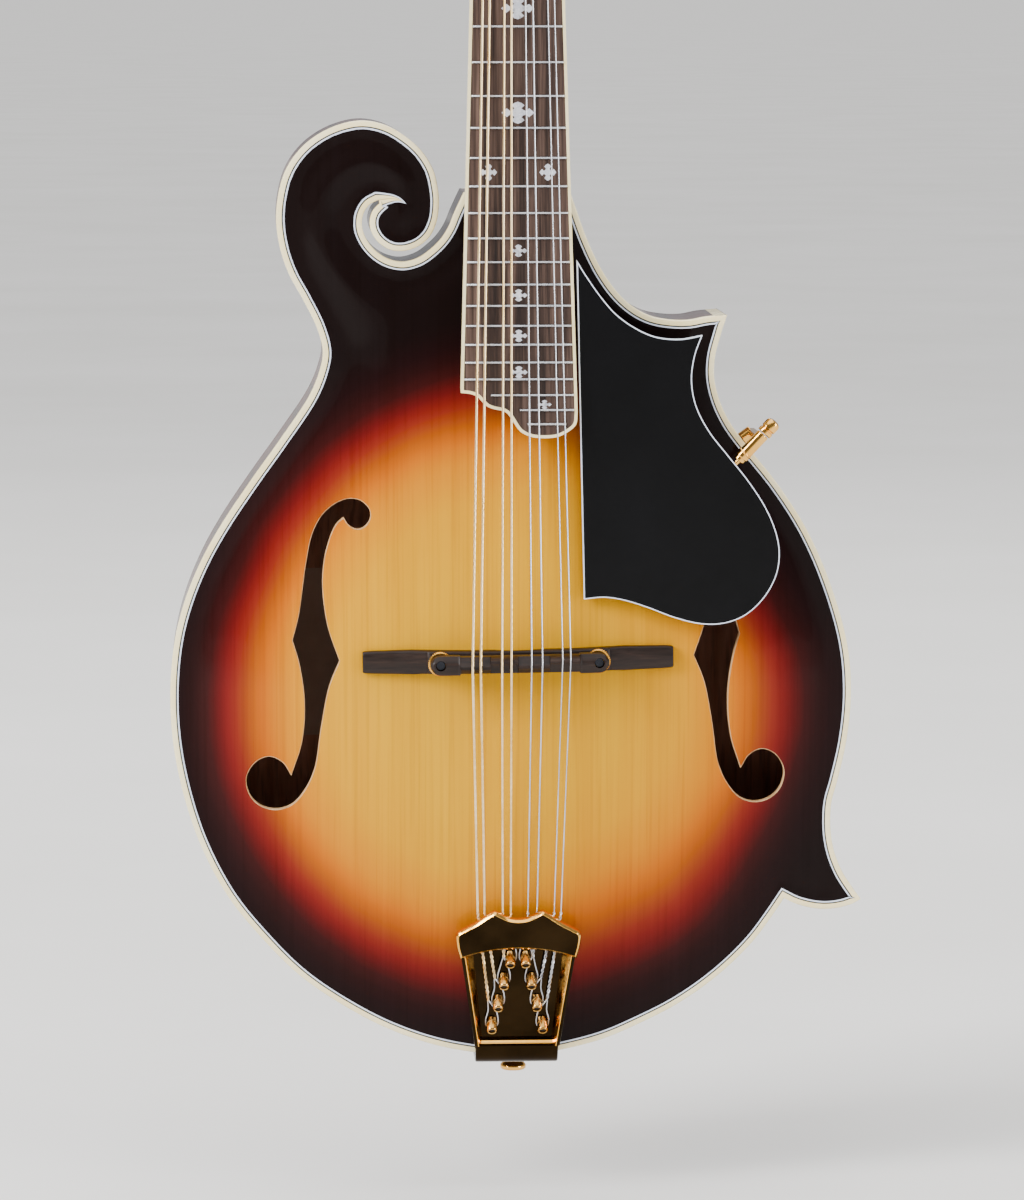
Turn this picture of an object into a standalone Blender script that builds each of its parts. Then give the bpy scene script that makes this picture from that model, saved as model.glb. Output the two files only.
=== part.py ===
"""F-style mandolin with a carved top, modelled on its back and then stood up.

Bench frame, in millimetres: x towards the treble side, y along the neck towards the
headstock, z up out of the top. y = 0 is the edge of the nut that the strings leave from,
z = 0 is the plane of the top's edge. The empty "bench" stands the instrument upright:
bench y becomes world +Z and bench z becomes world -Y.
"""

import math

import bmesh
import bpy
from mathutils import Vector

MM = 0.001
GAP = 0.3

# Strings and neck
SCALE_LENGTH = 352.4
FRET_COUNT = 24
NUT_WIDTH = 29.3
BOARD_TAPER = 0.0556
BOARD_END = 269.5
BOARD_THICKNESS = 5.0
BOARD_HEIGHT_AT_NUT = 2.0
BOARD_RISE = 25.0 / SCALE_LENGTH
FRET_HEIGHT = 1.0
FRET_WIDTH = 1.3
BINDING_WIDTH = 1.4
FLORIDA_LIMIT = 17.6
NUT_LENGTH = 4.5
NUT_TOP = 3.3
NECK_END = -178.2
TONGUE_END = -262.0
SADDLE_TOP = 32.0
STRING_RADII = (0.55, 0.55, 0.45, 0.45, 0.3, 0.3, 0.25, 0.25)
STRINGS_AT_NUT = (-11.0, -8.6, -4.2, -2.0, 2.2, 4.4, 9.0, 11.2)
STRINGS_AT_SADDLE = (-17.8, -14.8, -6.9, -3.4, 4.1, 8.1, 15.6, 18.6)

# Body
BODY_DEPTH = 44.0
TOP_ARCH = 14.0
BACK_ARCH = 12.0
ARCH_SOFTNESS = 45.0
PLATE_THICKNESS = 4.0
RIB_THICKNESS = 2.0
BODY_BINDING = 2.2
BINDING_DEPTH = 4.0
CARVE_GRID = 18.0

# Headstock, in its own frame: y along it from the nut, z out of its face
HEAD_TILT = math.radians(14.0)
HEAD_THICKNESS = 13.0
OVERLAY_THICKNESS = 2.0
POST_ROW = 17.0
POST_PITCH = 23.0
FIRST_POST = 34.0
POST_RADIUS = 3.0
POST_TOP = 15.0
GEAR_RADIUS = 6.5
GEAR_TOP = -14.9
GEAR_BOTTOM = -18.2
WORM_RADIUS = 2.1
WORM_OFFSET = GEAR_RADIUS + WORM_RADIUS + GAP

# Bridge, on its own frame under the saddle
BRIDGE_SKEW = math.radians(0.75)
STUD_SPACING = 59.0
WHEEL_RADIUS = 4.6
WHEEL_BOTTOM = 22.1
WHEEL_TOP = 24.3

# Tailpiece, in a frame that starts at the tail and rises towards the bridge
TAIL_Y = -506.0
TAIL_Z = 1.4
TAIL_TILT = math.atan(0.2)

# Edge of the body, from the neck's bass side round the scroll, tail and points
SLOT_EDGE = [
    (-19.5, -178.5), (-23, -186), (-25.3, -191.5), (-28, -195.7), (-31.8, -199.5),
    (-36.5, -202.8), (-42, -204.3), (-47, -203.5), (-51.5, -201), (-55.2, -197),
    (-57.4, -192), (-57.2, -187), (-55, -183.2), (-51.8, -181.4),
]
BASS_EDGE = [
    (-51, -182.6), (-53.2, -184.8), (-54.6, -188.5), (-54.2, -192.7), (-51.5, -197),
    (-46.8, -199.9), (-41.5, -200.2), (-36, -198.2), (-32, -194.5), (-29.6, -189),
    (-28.8, -182), (-29.3, -176.5), (-31, -169.8), (-35, -163.3), (-40.7, -158),
    (-49, -153.3), (-58.5, -151.8), (-70.3, -155), (-80, -161.8), (-86.5, -171.5),
    (-89.5, -186), (-88.4, -198), (-85, -208.5), (-79.6, -218.5), (-74.5, -229),
    (-72.3, -238), (-73.7, -245.5), (-77.5, -254.5), (-88.6, -271), (-99, -285.5),
    (-110.8, -303), (-118.6, -317), (-124.7, -332), (-128.5, -347), (-130.2, -366),
    (-129.2, -385.5), (-125.4, -405), (-119, -424.5), (-108.8, -444), (-97, -459),
    (-82, -474.3), (-65, -486.3), (-47.5, -495.6), (-29, -502), (-10, -505.3),
]
TAIL_CENTRE = (0.5, -505.7)
TREBLE_LOWER_EDGE = [
    (11, -505), (32, -500.2), (47, -494), (62.5, -486), (77.5, -475.2), (90, -463),
    (97.5, -453), (102, -446.3), (106, -448.3), (112, -450), (117.5, -450.6),
    (123.5, -450), (128, -448.6),
]
LOWER_TIP = (131.2, -446.8)
WAIST_EDGE = [
    (128, -442.3), (124, -436), (121, -428.3), (119.6, -420.5), (119.8, -410),
    (122, -401.5), (125.4, -386), (127, -368), (125.4, -349), (118.8, -326),
    (110, -306), (99.2, -289), (85.6, -272), (80.6, -265), (76.7, -257),
    (74.6, -248.3), (74.8, -240.5), (76.8, -232.5),
]
UPPER_TIP = (79.2, -224.6)
TREBLE_UPPER_EDGE = [
    (71.5, -225.2), (65, -226.4), (58, -226.3), (51, -225), (45.2, -222.2),
    (39.2, -217.2), (33, -209), (27, -197), (20.3, -178.5),
]
BACK_BUTTON = [(11, -178.5), (10, -171.5), (5.5, -168), (-5.5, -168), (-10, -171.5), (-11, -178.5)]

BASS_F_HOLE = [
    (-62.5, -292), (-69, -295), (-74, -300), (-77, -307), (-79.5, -318), (-82, -335.5),
    (-84.5, -345.5), (-81.8, -355), (-80, -369.5), (-81.2, -384), (-85, -396),
    (-88, -391.5), (-93, -389.3), (-98.5, -391.7), (-102, -398), (-100.5, -405),
    (-96, -409), (-90, -410), (-84.3, -407.8), (-79.5, -402), (-76, -394),
    (-73.5, -378), (-70.5, -363), (-66.5, -353), (-71, -339.5), (-72.8, -325),
    (-70.5, -309), (-65, -300), (-61, -304), (-56, -301.8), (-54.3, -297.5), (-56.5, -293.8),
]
BOARD_TIP = [
    (-21.5, -252.6), (-18, -253), (-15.5, -254), (-12, -257.5), (-9.5, -258.6), (-5.5, -259.5),
    (-3.8, -260.8), (-2, -263.5), (0.5, -267), (4.5, -269), (9.5, -269.5), (14.5, -269),
    (18.5, -267), (21.2, -264.5),
]
PICKGUARD_EDGE = [
    (21.6, -203), (25, -208.5), (31, -217), (36.5, -223.2), (43.5, -228.2), (51, -231.5),
    (60, -232.4), (68.5, -231), (65.8, -238.5), (64.6, -247.5), (66.2, -257), (71, -266.5),
    (78, -275.5), (86, -285.5), (92.5, -295.5), (96.5, -305), (97.8, -313), (96.6, -321),
    (92, -329.5), (85, -336), (77, -339), (68.5, -339.2), (58.5, -336.8), (48, -332.8),
    (39, -330), (32, -329), (24.5, -329.6),
]
HEAD_EDGE = [
    (-14.8, 0.5), (-15.4, 6), (-18.5, 13), (-23.5, 18), (-27.5, 24), (-29, 32), (-28, 50),
    (-27, 72), (-27.5, 92), (-30.5, 108), (-36, 120), (-40.5, 132), (-40, 144), (-34, 153),
    (-25, 156.5), (-16.5, 153.5), (-12.5, 146.5), (-9, 142.5), (-4.5, 143), (1.5, 148.5),
    (8, 157), (17, 163), (27, 163), (35, 157), (38.5, 147.5), (37, 138), (31, 131),
    (28.5, 122), (29, 108), (27.5, 92), (27, 72), (28, 50), (29, 32), (27.5, 24),
    (23.5, 18), (18.5, 13), (15.4, 6), (14.8, 0.5),
]


# ---------------------------------------------------------------- helpers


def clear_scene():
    for obj in list(bpy.data.objects):
        bpy.data.objects.remove(obj, do_unlink=True)


def collection(name):
    made = bpy.data.collections.new(name)
    bpy.context.scene.collection.children.link(made)
    return made


def material(name, color, roughness, metallic=0.0):
    made = bpy.data.materials.new(name)
    made.use_nodes = True
    shader = made.node_tree.nodes["Principled BSDF"]
    shader.inputs["Base Color"].default_value = (*color, 1.0)
    shader.inputs["Roughness"].default_value = roughness
    shader.inputs["Metallic"].default_value = metallic
    return made


def frame(name, location, rotation=(0.0, 0.0, 0.0), parent=None):
    empty = bpy.data.objects.new(name, None)
    empty.empty_display_size = 0.02
    empty.location = Vector(location) * MM
    empty.rotation_euler = rotation
    empty.parent = parent
    parts.objects.link(empty)
    return empty


def place(name, mesh, parent, location=(0.0, 0.0, 0.0), rotation=(0.0, 0.0, 0.0)):
    obj = bpy.data.objects.new(name, mesh)
    obj.parent = parent
    obj.location = Vector(location) * MM
    obj.rotation_euler = rotation
    parts.objects.link(obj)
    return obj


def dress(obj, mat, smooth=False):
    obj.data.materials.clear()
    obj.data.materials.append(mat)
    if smooth:
        obj.data.shade_smooth()
        obj.data.set_sharp_from_angle(angle=math.radians(35))
    return obj


def curve_data(name, lines, cyclic, dimensions):
    curve = bpy.data.curves.new(name, "CURVE")
    curve.dimensions = dimensions
    for line in lines:
        spline = curve.splines.new("POLY")
        spline.points.add(len(line) - 1)
        for point, place_mm in zip(spline.points, line):
            point.co = (*(Vector(place_mm).to_3d() * MM), 1.0)
        spline.use_cyclic_u = cyclic
    return curve


def mesh_of(name, curve):
    """The curve as one welded mesh, so that a Boolean can work on it."""
    holder = bpy.data.objects.new(name + "_curve", curve)
    parts.objects.link(holder)
    graph = bpy.context.evaluated_depsgraph_get()
    mesh = bpy.data.meshes.new_from_object(holder.evaluated_get(graph))
    bpy.data.objects.remove(holder, do_unlink=True)
    shape = bmesh.new()
    shape.from_mesh(mesh)
    bmesh.ops.remove_doubles(shape, verts=shape.verts, dist=0.000005)
    bmesh.ops.recalc_face_normals(shape, faces=shape.faces)
    shape.to_mesh(mesh)
    shape.free()
    mesh.name = name
    return mesh


def slab(name, outline, bottom, top, parent):
    """A flat outline, extruded between two heights."""
    curve = curve_data(name, [outline], True, "2D")
    curve.fill_mode = "BOTH"
    curve.extrude = (top - bottom) * MM / 2
    return place(name, mesh_of(name, curve), parent, (0.0, 0.0, (bottom + top) / 2))


def tube(name, path, radius, parent, resolution=2):
    curve = curve_data(name, [path], False, "3D")
    curve.bevel_depth = radius * MM
    curve.bevel_resolution = resolution
    curve.use_fill_caps = True
    return place(name, mesh_of(name, curve), parent)


def box(name, low, high, parent):
    shape = bmesh.new()
    bmesh.ops.create_cube(shape, size=1.0)
    size = Vector(high) - Vector(low)
    bmesh.ops.scale(shape, vec=size * MM, verts=shape.verts)
    mesh = bpy.data.meshes.new(name)
    shape.to_mesh(mesh)
    shape.free()
    return place(name, mesh, parent, (Vector(low) + Vector(high)) / 2)


def rod(name, start, end, radius, parent, sides=16, end_radius=None):
    """A cylinder or cone between two points."""
    start = Vector(start)
    end = Vector(end)
    shape = bmesh.new()
    bmesh.ops.create_cone(
        shape,
        cap_ends=True,
        segments=sides,
        radius1=radius * MM,
        radius2=(radius if end_radius is None else end_radius) * MM,
        depth=(end - start).length * MM,
    )
    mesh = bpy.data.meshes.new(name)
    shape.to_mesh(mesh)
    shape.free()
    turn = (end - start).to_track_quat("Z", "Y").to_euler()
    return place(name, mesh, parent, (start + end) / 2, turn)


def turned(name, profile, parent, location, rotation=(0.0, 0.0, 0.0), steps=12):
    """A profile of (radius, height) points, outer side from top to bottom, turned round z."""
    mesh = bpy.data.meshes.new(name)
    verts = [(radius * MM, 0.0, height * MM) for radius, height in profile]
    mesh.from_pydata(verts, [(i, i + 1) for i in range(len(verts) - 1)], [])
    obj = place(name, mesh, parent, location, rotation)
    screw = obj.modifiers.new("Turn", "SCREW")
    screw.steps = steps
    screw.render_steps = steps
    screw.use_merge_vertices = True
    screw.merge_threshold = 0.00002
    return obj


def boolean(obj, other, operation):
    """Joins or cuts with another object, which becomes a hidden helper."""
    parts.objects.unlink(other) if other.name in parts.objects else None
    if other.name not in helpers.objects:
        helpers.objects.link(other)
    other.hide_render = True
    other.display_type = "WIRE"
    modifier = obj.modifiers.new(operation.title(), "BOOLEAN")
    modifier.operation = operation
    modifier.solver = "EXACT"
    modifier.object = other
    return obj


def join(obj, *others):
    for other in others:
        boolean(obj, other, "UNION")
    return obj


def cut(obj, *others):
    for other in others:
        boolean(obj, other, "DIFFERENCE")
    return obj


def keep(obj, other):
    return boolean(obj, other, "INTERSECT")


# ---------------------------------------------------------------- outlines


def inset(outline, distance, miter_limit=3.0):
    """The closed outline moved inwards, point for point."""
    area = sum(
        a[0] * b[1] - b[0] * a[1] for a, b in zip(outline, outline[1:] + outline[:1])
    )
    side = 1.0 if area > 0 else -1.0
    moved = []
    for i, point in enumerate(outline):
        here = Vector(point)
        before = (here - Vector(outline[i - 1])).normalized()
        after = (Vector(outline[(i + 1) % len(outline)]) - here).normalized()
        first = Vector((-before.y, before.x)) * side
        second = Vector((-after.y, after.x)) * side
        middle = (first + second).normalized()
        reach = min(1.0 / max(middle.dot(first), 0.01), miter_limit)
        moved.append(tuple(here + middle * reach * distance))
    return moved


def strip(outline, first, last, outer, inner):
    """A band that follows the edge between two of its points, just short of both."""
    outside = inset(outline, outer)[first : last + 1]
    inside = inset(outline, inner)[first : last + 1]
    for side in (outside, inside):
        start = Vector(side[1]) - Vector(side[0])
        end = Vector(side[-2]) - Vector(side[-1])
        side[0] = tuple(Vector(side[0]) + start.normalized() * GAP / 2)
        side[-1] = tuple(Vector(side[-1]) + end.normalized() * GAP / 2)
    return outside + inside[::-1]


def distance_to_edge(x, y, edge):
    here = Vector((x, y))
    nearest = 1e9
    for a, b in zip(edge, edge[1:] + edge[:1]):
        start = Vector(a)
        along = Vector(b) - start
        part = max(0.0, min(1.0, (here - start).dot(along) / along.length_squared))
        nearest = min(nearest, (here - start - along * part).length)
    return nearest


def arch(x, y, edge, height):
    """Height of a carved plate over its edge: full round the bridge, lower at the neck."""
    away = distance_to_edge(x, y, edge)
    towards_neck = max(0.0, min(1.0, (y + 350.0) / 170.0))
    return height * (1.0 - math.exp(-((away / ARCH_SOFTNESS) ** 2))) * (1.0 - 0.5 * towards_neck)


# ---------------------------------------------------------------- the body


def carved_sheet(name, height, sign, offset, thickness):
    """A sheet that follows the arch over the whole body, offset from it and thickened down."""
    columns = math.ceil(280 / CARVE_GRID)
    rows = math.ceil(378 / CARVE_GRID)
    shape = bmesh.new()
    bmesh.ops.create_grid(shape, x_segments=columns, y_segments=rows, size=0.5)
    for vert in shape.verts:
        x = vert.co.x * 280
        y = vert.co.y * 378 - 330
        rise = arch(x, y, body_edge, height) if inside_body(x, y) else 0.0
        vert.co = Vector((x, y, sign * (rise + offset))) * MM
    if sign < 0:
        bmesh.ops.reverse_faces(shape, faces=shape.faces)
    mesh = bpy.data.meshes.new(name)
    shape.to_mesh(mesh)
    shape.free()
    obj = place(name, mesh, bench)
    solid = obj.modifiers.new("Thickness", "SOLIDIFY")
    solid.thickness = thickness * MM
    solid.offset = -1.0
    return obj


def inside_body(x, y):
    inside = False
    for (ax, ay), (bx, by) in zip(body_edge, body_edge[1:] + body_edge[:1]):
        if (ay > y) != (by > y) and x < (bx - ax) * (y - ay) / (by - ay) + ax:
            inside = not inside
    return inside


def mirrored(outline):
    return [(-x, y) for x, y in outline][::-1]


def treble_f_hole():
    """The bass hole turned over, moved to where the treble one is cut."""
    return [(x - 0.5, y + 1.5) for x, y in mirrored(BASS_F_HOLE)]


def make_plates():
    top = carved_sheet("top_plate", TOP_ARCH, 1, 0.0, PLATE_THICKNESS)
    inner_edge = inset(body_edge, BODY_BINDING + GAP)
    keep(top, slab("top_outline", inner_edge, -20, 40, bench))
    cut(top, slab("bass_f_hole", BASS_F_HOLE, -20, 40, bench))
    cut(top, slab("treble_f_hole", treble_f_hole(), -20, 40, bench))
    dress(top, SPRUCE, True)

    back = carved_sheet("back_plate", BACK_ARCH, -1, BODY_DEPTH, PLATE_THICKNESS)
    back_edge = body_edge + BACK_BUTTON
    keep(back, slab("back_outline", inset(back_edge, BODY_BINDING + GAP), -80, -20, bench))
    dress(back, MAPLE_DARK, True)

    last = len(body_edge) - 1
    band = strip(body_edge, 0, last, 0.0, BODY_BINDING)
    dress(slab("top_binding", band, -BINDING_DEPTH, 0.0, bench), CREAM)
    dress(slab("back_binding", band, -BODY_DEPTH, BINDING_DEPTH - BODY_DEPTH, bench), CREAM)


def make_rim():
    low = BINDING_DEPTH + GAP - BODY_DEPTH
    high = -BINDING_DEPTH - GAP
    tail = body_edge.index(TAIL_CENTRE)
    lower = body_edge.index(LOWER_TIP)
    upper = body_edge.index(UPPER_TIP)
    last = len(body_edge) - 1
    spans = {
        "bass_rib": (0, tail),
        "treble_lower_rib": (tail, lower),
        "treble_waist_rib": (lower, upper),
        "treble_upper_rib": (upper, last),
    }
    ribs = {}
    for name, (first, end) in spans.items():
        band = strip(body_edge, first, end, 0.0, RIB_THICKNESS)
        ribs[name] = dress(slab(name, band, low, high, bench), MAPLE_DARK)

    blocks = {
        "head_block": ((-95, -222), (60, -150)),
        "tail_block": ((-32, -515), (32, -488)),
        "upper_point_block": ((62, -238), (85, -215)),
        "lower_point_block": ((106, -455), (140, -428)),
    }
    core = inset(body_edge, RIB_THICKNESS + GAP)
    made = {}
    for name, ((left, near), (right, far)) in blocks.items():
        block = slab(name, core, low, high, bench)
        keep(block, box(name + "_part", (left, near, -60), (right, far, 20), bench))
        made[name] = dress(block, MAPLE)
    for side, lean in (("bass", -1), ("treble", 1)):
        bar = box(side + "_tone_bar", (-3, -95, -14), (3, 95, 20), bench)
        bar.location = Vector((lean * 22, -352, 3)) * MM
        bar.rotation_euler = (0.0, 0.0, math.radians(3.0) * lean)
        above = carved_sheet(side + "_underside", TOP_ARCH, 1, 40.0, 40.0 + PLATE_THICKNESS + GAP)
        cut(bar, above)
        dress(bar, SPRUCE)
    return ribs, made


# ---------------------------------------------------------------- the neck


def fret_distance(number):
    return SCALE_LENGTH * (1 - 2 ** (-number / 12))


def board_half_width(distance):
    return (NUT_WIDTH + BOARD_TAPER * distance) / 2


def board_outline(margin):
    """The fingerboard's outline, a margin inside its edge along the sides and the end."""
    start = -board_half_width(0) + margin
    side = -board_half_width(250) + margin
    tip = inset([(start, 0.0), (-board_half_width(250), -250.5)] + BOARD_TIP
                + [(board_half_width(260), -260.0), (-start, 0.0)], margin)
    return [(start, 0.0), (side, tip[1][1])] + tip[2:-1] + [(-start, 0.0)]


def neck_section(y, half_width, depth, pinch, fullness, count=12):
    """One ring of the neck: flat on top, round below, in bench x and z."""
    top = BOARD_HEIGHT_AT_NUT - BOARD_THICKNESS - GAP - BOARD_RISE * y
    ring = []
    for i in range(count + 1):
        angle = math.pi * i / count
        x = half_width * math.copysign(abs(math.cos(angle)) ** fullness, math.cos(angle))
        sink = math.sin(angle) ** fullness
        ring.append((x * (1 - pinch * math.sin(angle)), y, top - depth(top) * sink))
    return ring


def neck_shaft():
    """Loft from the nut to the heel."""
    heel_floor = BINDING_DEPTH + 2 * GAP - BODY_DEPTH
    stations = [(NUT_LENGTH + 1.5, 15.0), (0, 15.0), (-50, 15.8), (-100, 16.8), (-138, 18.0)]
    rings = []
    for y, thick in stations:
        half = board_half_width(max(0.0, -y)) - 0.3
        rings.append(neck_section(y, half, lambda top, t=thick: t, 0.0, 0.9))
    heel = ((-150, 0.12), (-158, 0.3), (-165, 0.55), (-171, 0.82), (-175, 0.96), (NECK_END, 1.0))
    for y, share in heel:
        half = board_half_width(-y) - 0.3
        full = 0.9 - 0.35 * share
        rings.append(
            neck_section(
                y,
                half,
                lambda top, s=share: 18.5 + (top - heel_floor - 18.5) * s,
                0.42 * share,
                full,
            )
        )
    shape = bmesh.new()
    loops = [[shape.verts.new(Vector(point) * MM) for point in ring] for ring in rings]
    for first, second in zip(loops, loops[1:]):
        count = len(first)
        for i in range(count):
            j = (i + 1) % count
            shape.faces.new((first[i], first[j], second[j], second[i]))
    shape.faces.new(loops[0][::-1])
    shape.faces.new(loops[-1])
    bmesh.ops.recalc_face_normals(shape, faces=shape.faces)
    mesh = bpy.data.meshes.new("neck")
    shape.to_mesh(mesh)
    shape.free()
    return place("neck", mesh, bench)


def post_places():
    """(number, x, y) of each post in the headstock frame; 1 is the outer bass string's."""
    places = []
    for i in range(4):
        places.append((i + 1, -POST_ROW, FIRST_POST + POST_PITCH * i))
    for i in range(4):
        places.append((i + 5, POST_ROW, FIRST_POST + POST_PITCH * (3 - i)))
    return places


def dovetail(name, margin, top):
    outline = [
        (-9 - margin, -177),
        (9 + margin, -177),
        (12.5 + margin, -194 - margin),
        (-12.5 - margin, -194 - margin),
    ]
    return slab(name, outline, -38 - margin, top, bench)


def make_neck(head_block):
    neck = neck_shaft()
    join(neck, slab("headstock_blank", HEAD_EDGE, -HEAD_THICKNESS, 0.0, head))
    tongue = [
        (-board_half_width(172) + 4, -172),
        (board_half_width(172) - 4, -172),
        (board_half_width(262) - 4, TONGUE_END),
        (-15, -250),
        (-board_half_width(240) + 4, -247),
    ]
    riser = slab("tongue", tongue, -24, -BOARD_THICKNESS - GAP, board)
    cut(riser, carved_sheet("top_clearance", TOP_ARCH, 1, GAP, 30.0))
    trim = box("tongue_trim", (-40, NECK_END - 0.1, -60), (40, -160, 2.0), bench)
    cut(riser, trim)
    join(neck, riser, dovetail("dovetail", 0.0, -5.0))
    channel = box("rod_channel", (-2.7, -163, -12.5), (2.7, 12, 5), board)
    cut(neck, channel)
    cut(neck, box("nut_pocket", (-5.2, 1.5, -10), (5.2, 17.3, 10), head))
    for number, x, y in post_places():
        cut(neck, rod(f"post_hole_{number}", (x, y, -30), (x, y, 20), POST_RADIUS + 0.8, head, 10))
    dress(neck, MAPLE_DARK, True)
    cut(head_block, dovetail("mortise", GAP, 0.0))

    overlay = slab("headstock_overlay", inset(HEAD_EDGE, 0.4), GAP, GAP + OVERLAY_THICKNESS, head)
    for number, x, y in post_places():
        hole = rod(f"overlay_hole_{number}", (x, y, -5), (x, y, 9), POST_RADIUS + 0.8, head, 10)
        cut(overlay, hole)
    cut(overlay, box("overlay_pocket", (-5.2, -2, -5), (5.2, 17.3, 9), head))
    dress(overlay, EBONY)
    cover = [(-9, 1.5), (9, 1.5), (10.5, 8), (8.5, 18), (4.5, 26), (0, 30), (-4.5, 26), (-8.5, 18), (-10.5, 8)]
    low = GAP * 2 + OVERLAY_THICKNESS
    dress(slab("truss_rod_cover", cover, low, low + 1.5, head), EBONY)

    steel_rod = rod("truss_rod", (0, -160, -9), (0, 12.5, -9), 2.2, board, 10)
    dress(steel_rod, STEEL, True)
    rod_nut = rod("truss_rod_nut", (0, 6.5, -9), (0, 14.0, -9), 3.8, board, 6)
    cut(rod_nut, rod("rod_nut_bore", (0, 0, -9), (0, 20, -9), 2.6, board, 10))
    dress(rod_nut, BRASS)


def make_fingerboard():
    core = board_outline(BINDING_WIDTH + GAP)
    fingerboard = slab("fingerboard", core, -BOARD_THICKNESS, 0.0, board)
    limits = {22: -10.5, 23: 0.2, 24: 3.0}
    for number in range(1, FRET_COUNT + 1):
        y = -fret_distance(number)
        half = board_half_width(-y) - BINDING_WIDTH - GAP - 0.4
        left = limits.get(number, -half)
        half = min(half, FLORIDA_LIMIT) if number == FRET_COUNT else half
        low = (left, y - FRET_WIDTH / 2, -1.2)
        high = (half, y + FRET_WIDTH / 2, FRET_HEIGHT)
        join(fingerboard, box(f"fret_{number}", low, high, board))
    dress(fingerboard, ROSEWOOD)
    edge = slab("fingerboard_binding", board_outline(0.0), -BOARD_THICKNESS, 0.0, board)
    inner = board_outline(BINDING_WIDTH)
    open_end = [(inner[0][0], 5.0)] + inner + [(inner[-1][0], 5.0)]
    cut(edge, slab("binding_core", open_end, -9, 5, board))
    dress(edge, CREAM)
    half = NUT_WIDTH / 2
    nut = box("nut", (-half, GAP, -3.0), (half, GAP + NUT_LENGTH, NUT_TOP), bench)
    dress(nut, BONE)


# ---------------------------------------------------------------- bridge, tail, guard


def make_bridge():
    base_front = [
        (-57.5, -4.5), (-40, -5.2), (-20, -4), (20, -4), (40, -5.2), (57.5, -4.5),
        (58.2, 0), (57.5, 4.5), (40, 5.2), (20, 4), (-20, 4), (-40, 5.2), (-57.5, 4.5), (-58.2, 0),
    ]
    base = slab("bridge_base", base_front, 6, 19.4, bridge)
    arch_gap = rod("base_arch", (0, -12, 3), (0, 12, 3), 14.4, bridge, 20)
    cut(base, arch_gap)
    cut(base, carved_sheet("bridge_clearance", TOP_ARCH, 1, GAP, 30.0))
    for side in (-1, 1):
        wing = [(side * 34, 40), (side * 34, 19.5), (side * 58, 15.8), (side * 62, 15.8), (side * 62, 40)]
        shape = slab(f"base_wing_{side + 2}", wing, -12, 12, bridge)
        shape.rotation_euler = (math.pi / 2, 0.0, 0.0)
        shape.location = (0.0, 0.0, 0.0)
        cut(base, shape)

    saddle_face = [
        (-34, 24.6), (34, 24.6), (35.2, 27.5), (34, 31), (20, SADDLE_TOP), (-20, SADDLE_TOP),
        (-34, 31), (-35.2, 27.5),
    ]
    saddle = slab("bridge_saddle", saddle_face, -3.4, 3.4, bridge)
    saddle.rotation_euler = (math.pi / 2, 0.0, 0.0)
    saddle.location = (0.0, 0.0, 0.0)
    for i, x in enumerate(STRINGS_AT_SADDLE[::2]):
        front = (x - 3, -5, SADDLE_TOP - 1.4)
        step = box(f"saddle_step_{i}", front, (x + 6.5, -1.6 + 0.7 * i, 40), bridge)
        cut(saddle, step)
    for side, name in ((-1, "bass"), (1, "treble")):
        x = side * STUD_SPACING / 2
        hole = rod(name + "_saddle_bore", (x, 0, 20), (x, 0, 30.6), 2.1, bridge, 12)
        cut(saddle, hole)
        seat = rod(name + "_base_bore", (x, 0, 14.6), (x, 0, 24), 2.1, bridge, 12)
        cut(base, seat)
        post = rod(name + "_bridge_post", (x, 0, 15), (x, 0, 28.4), 1.6, bridge, 12)
        dress(post, STEEL, True)
        wheel = turned(
            name + "_thumbwheel",
            [(2.0, WHEEL_TOP), (WHEEL_RADIUS, WHEEL_TOP), (WHEEL_RADIUS, WHEEL_BOTTOM), (2.0, WHEEL_BOTTOM), (2.0, WHEEL_TOP)],
            bridge,
            (x, 0, 0),
            steps=16,
        )
        dress(wheel, GOLD, True)
    dress(base, BRIDGE_WOOD)
    dress(saddle, BRIDGE_WOOD)


def hook_places():
    places = []
    for side in (-1, 1):
        for x, y in ((9.6, 10.8), (7.3, 19.5), (5.2, 28.2), (2.9, 36.6)):
            places.append((side * x, y))
    return places


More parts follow.
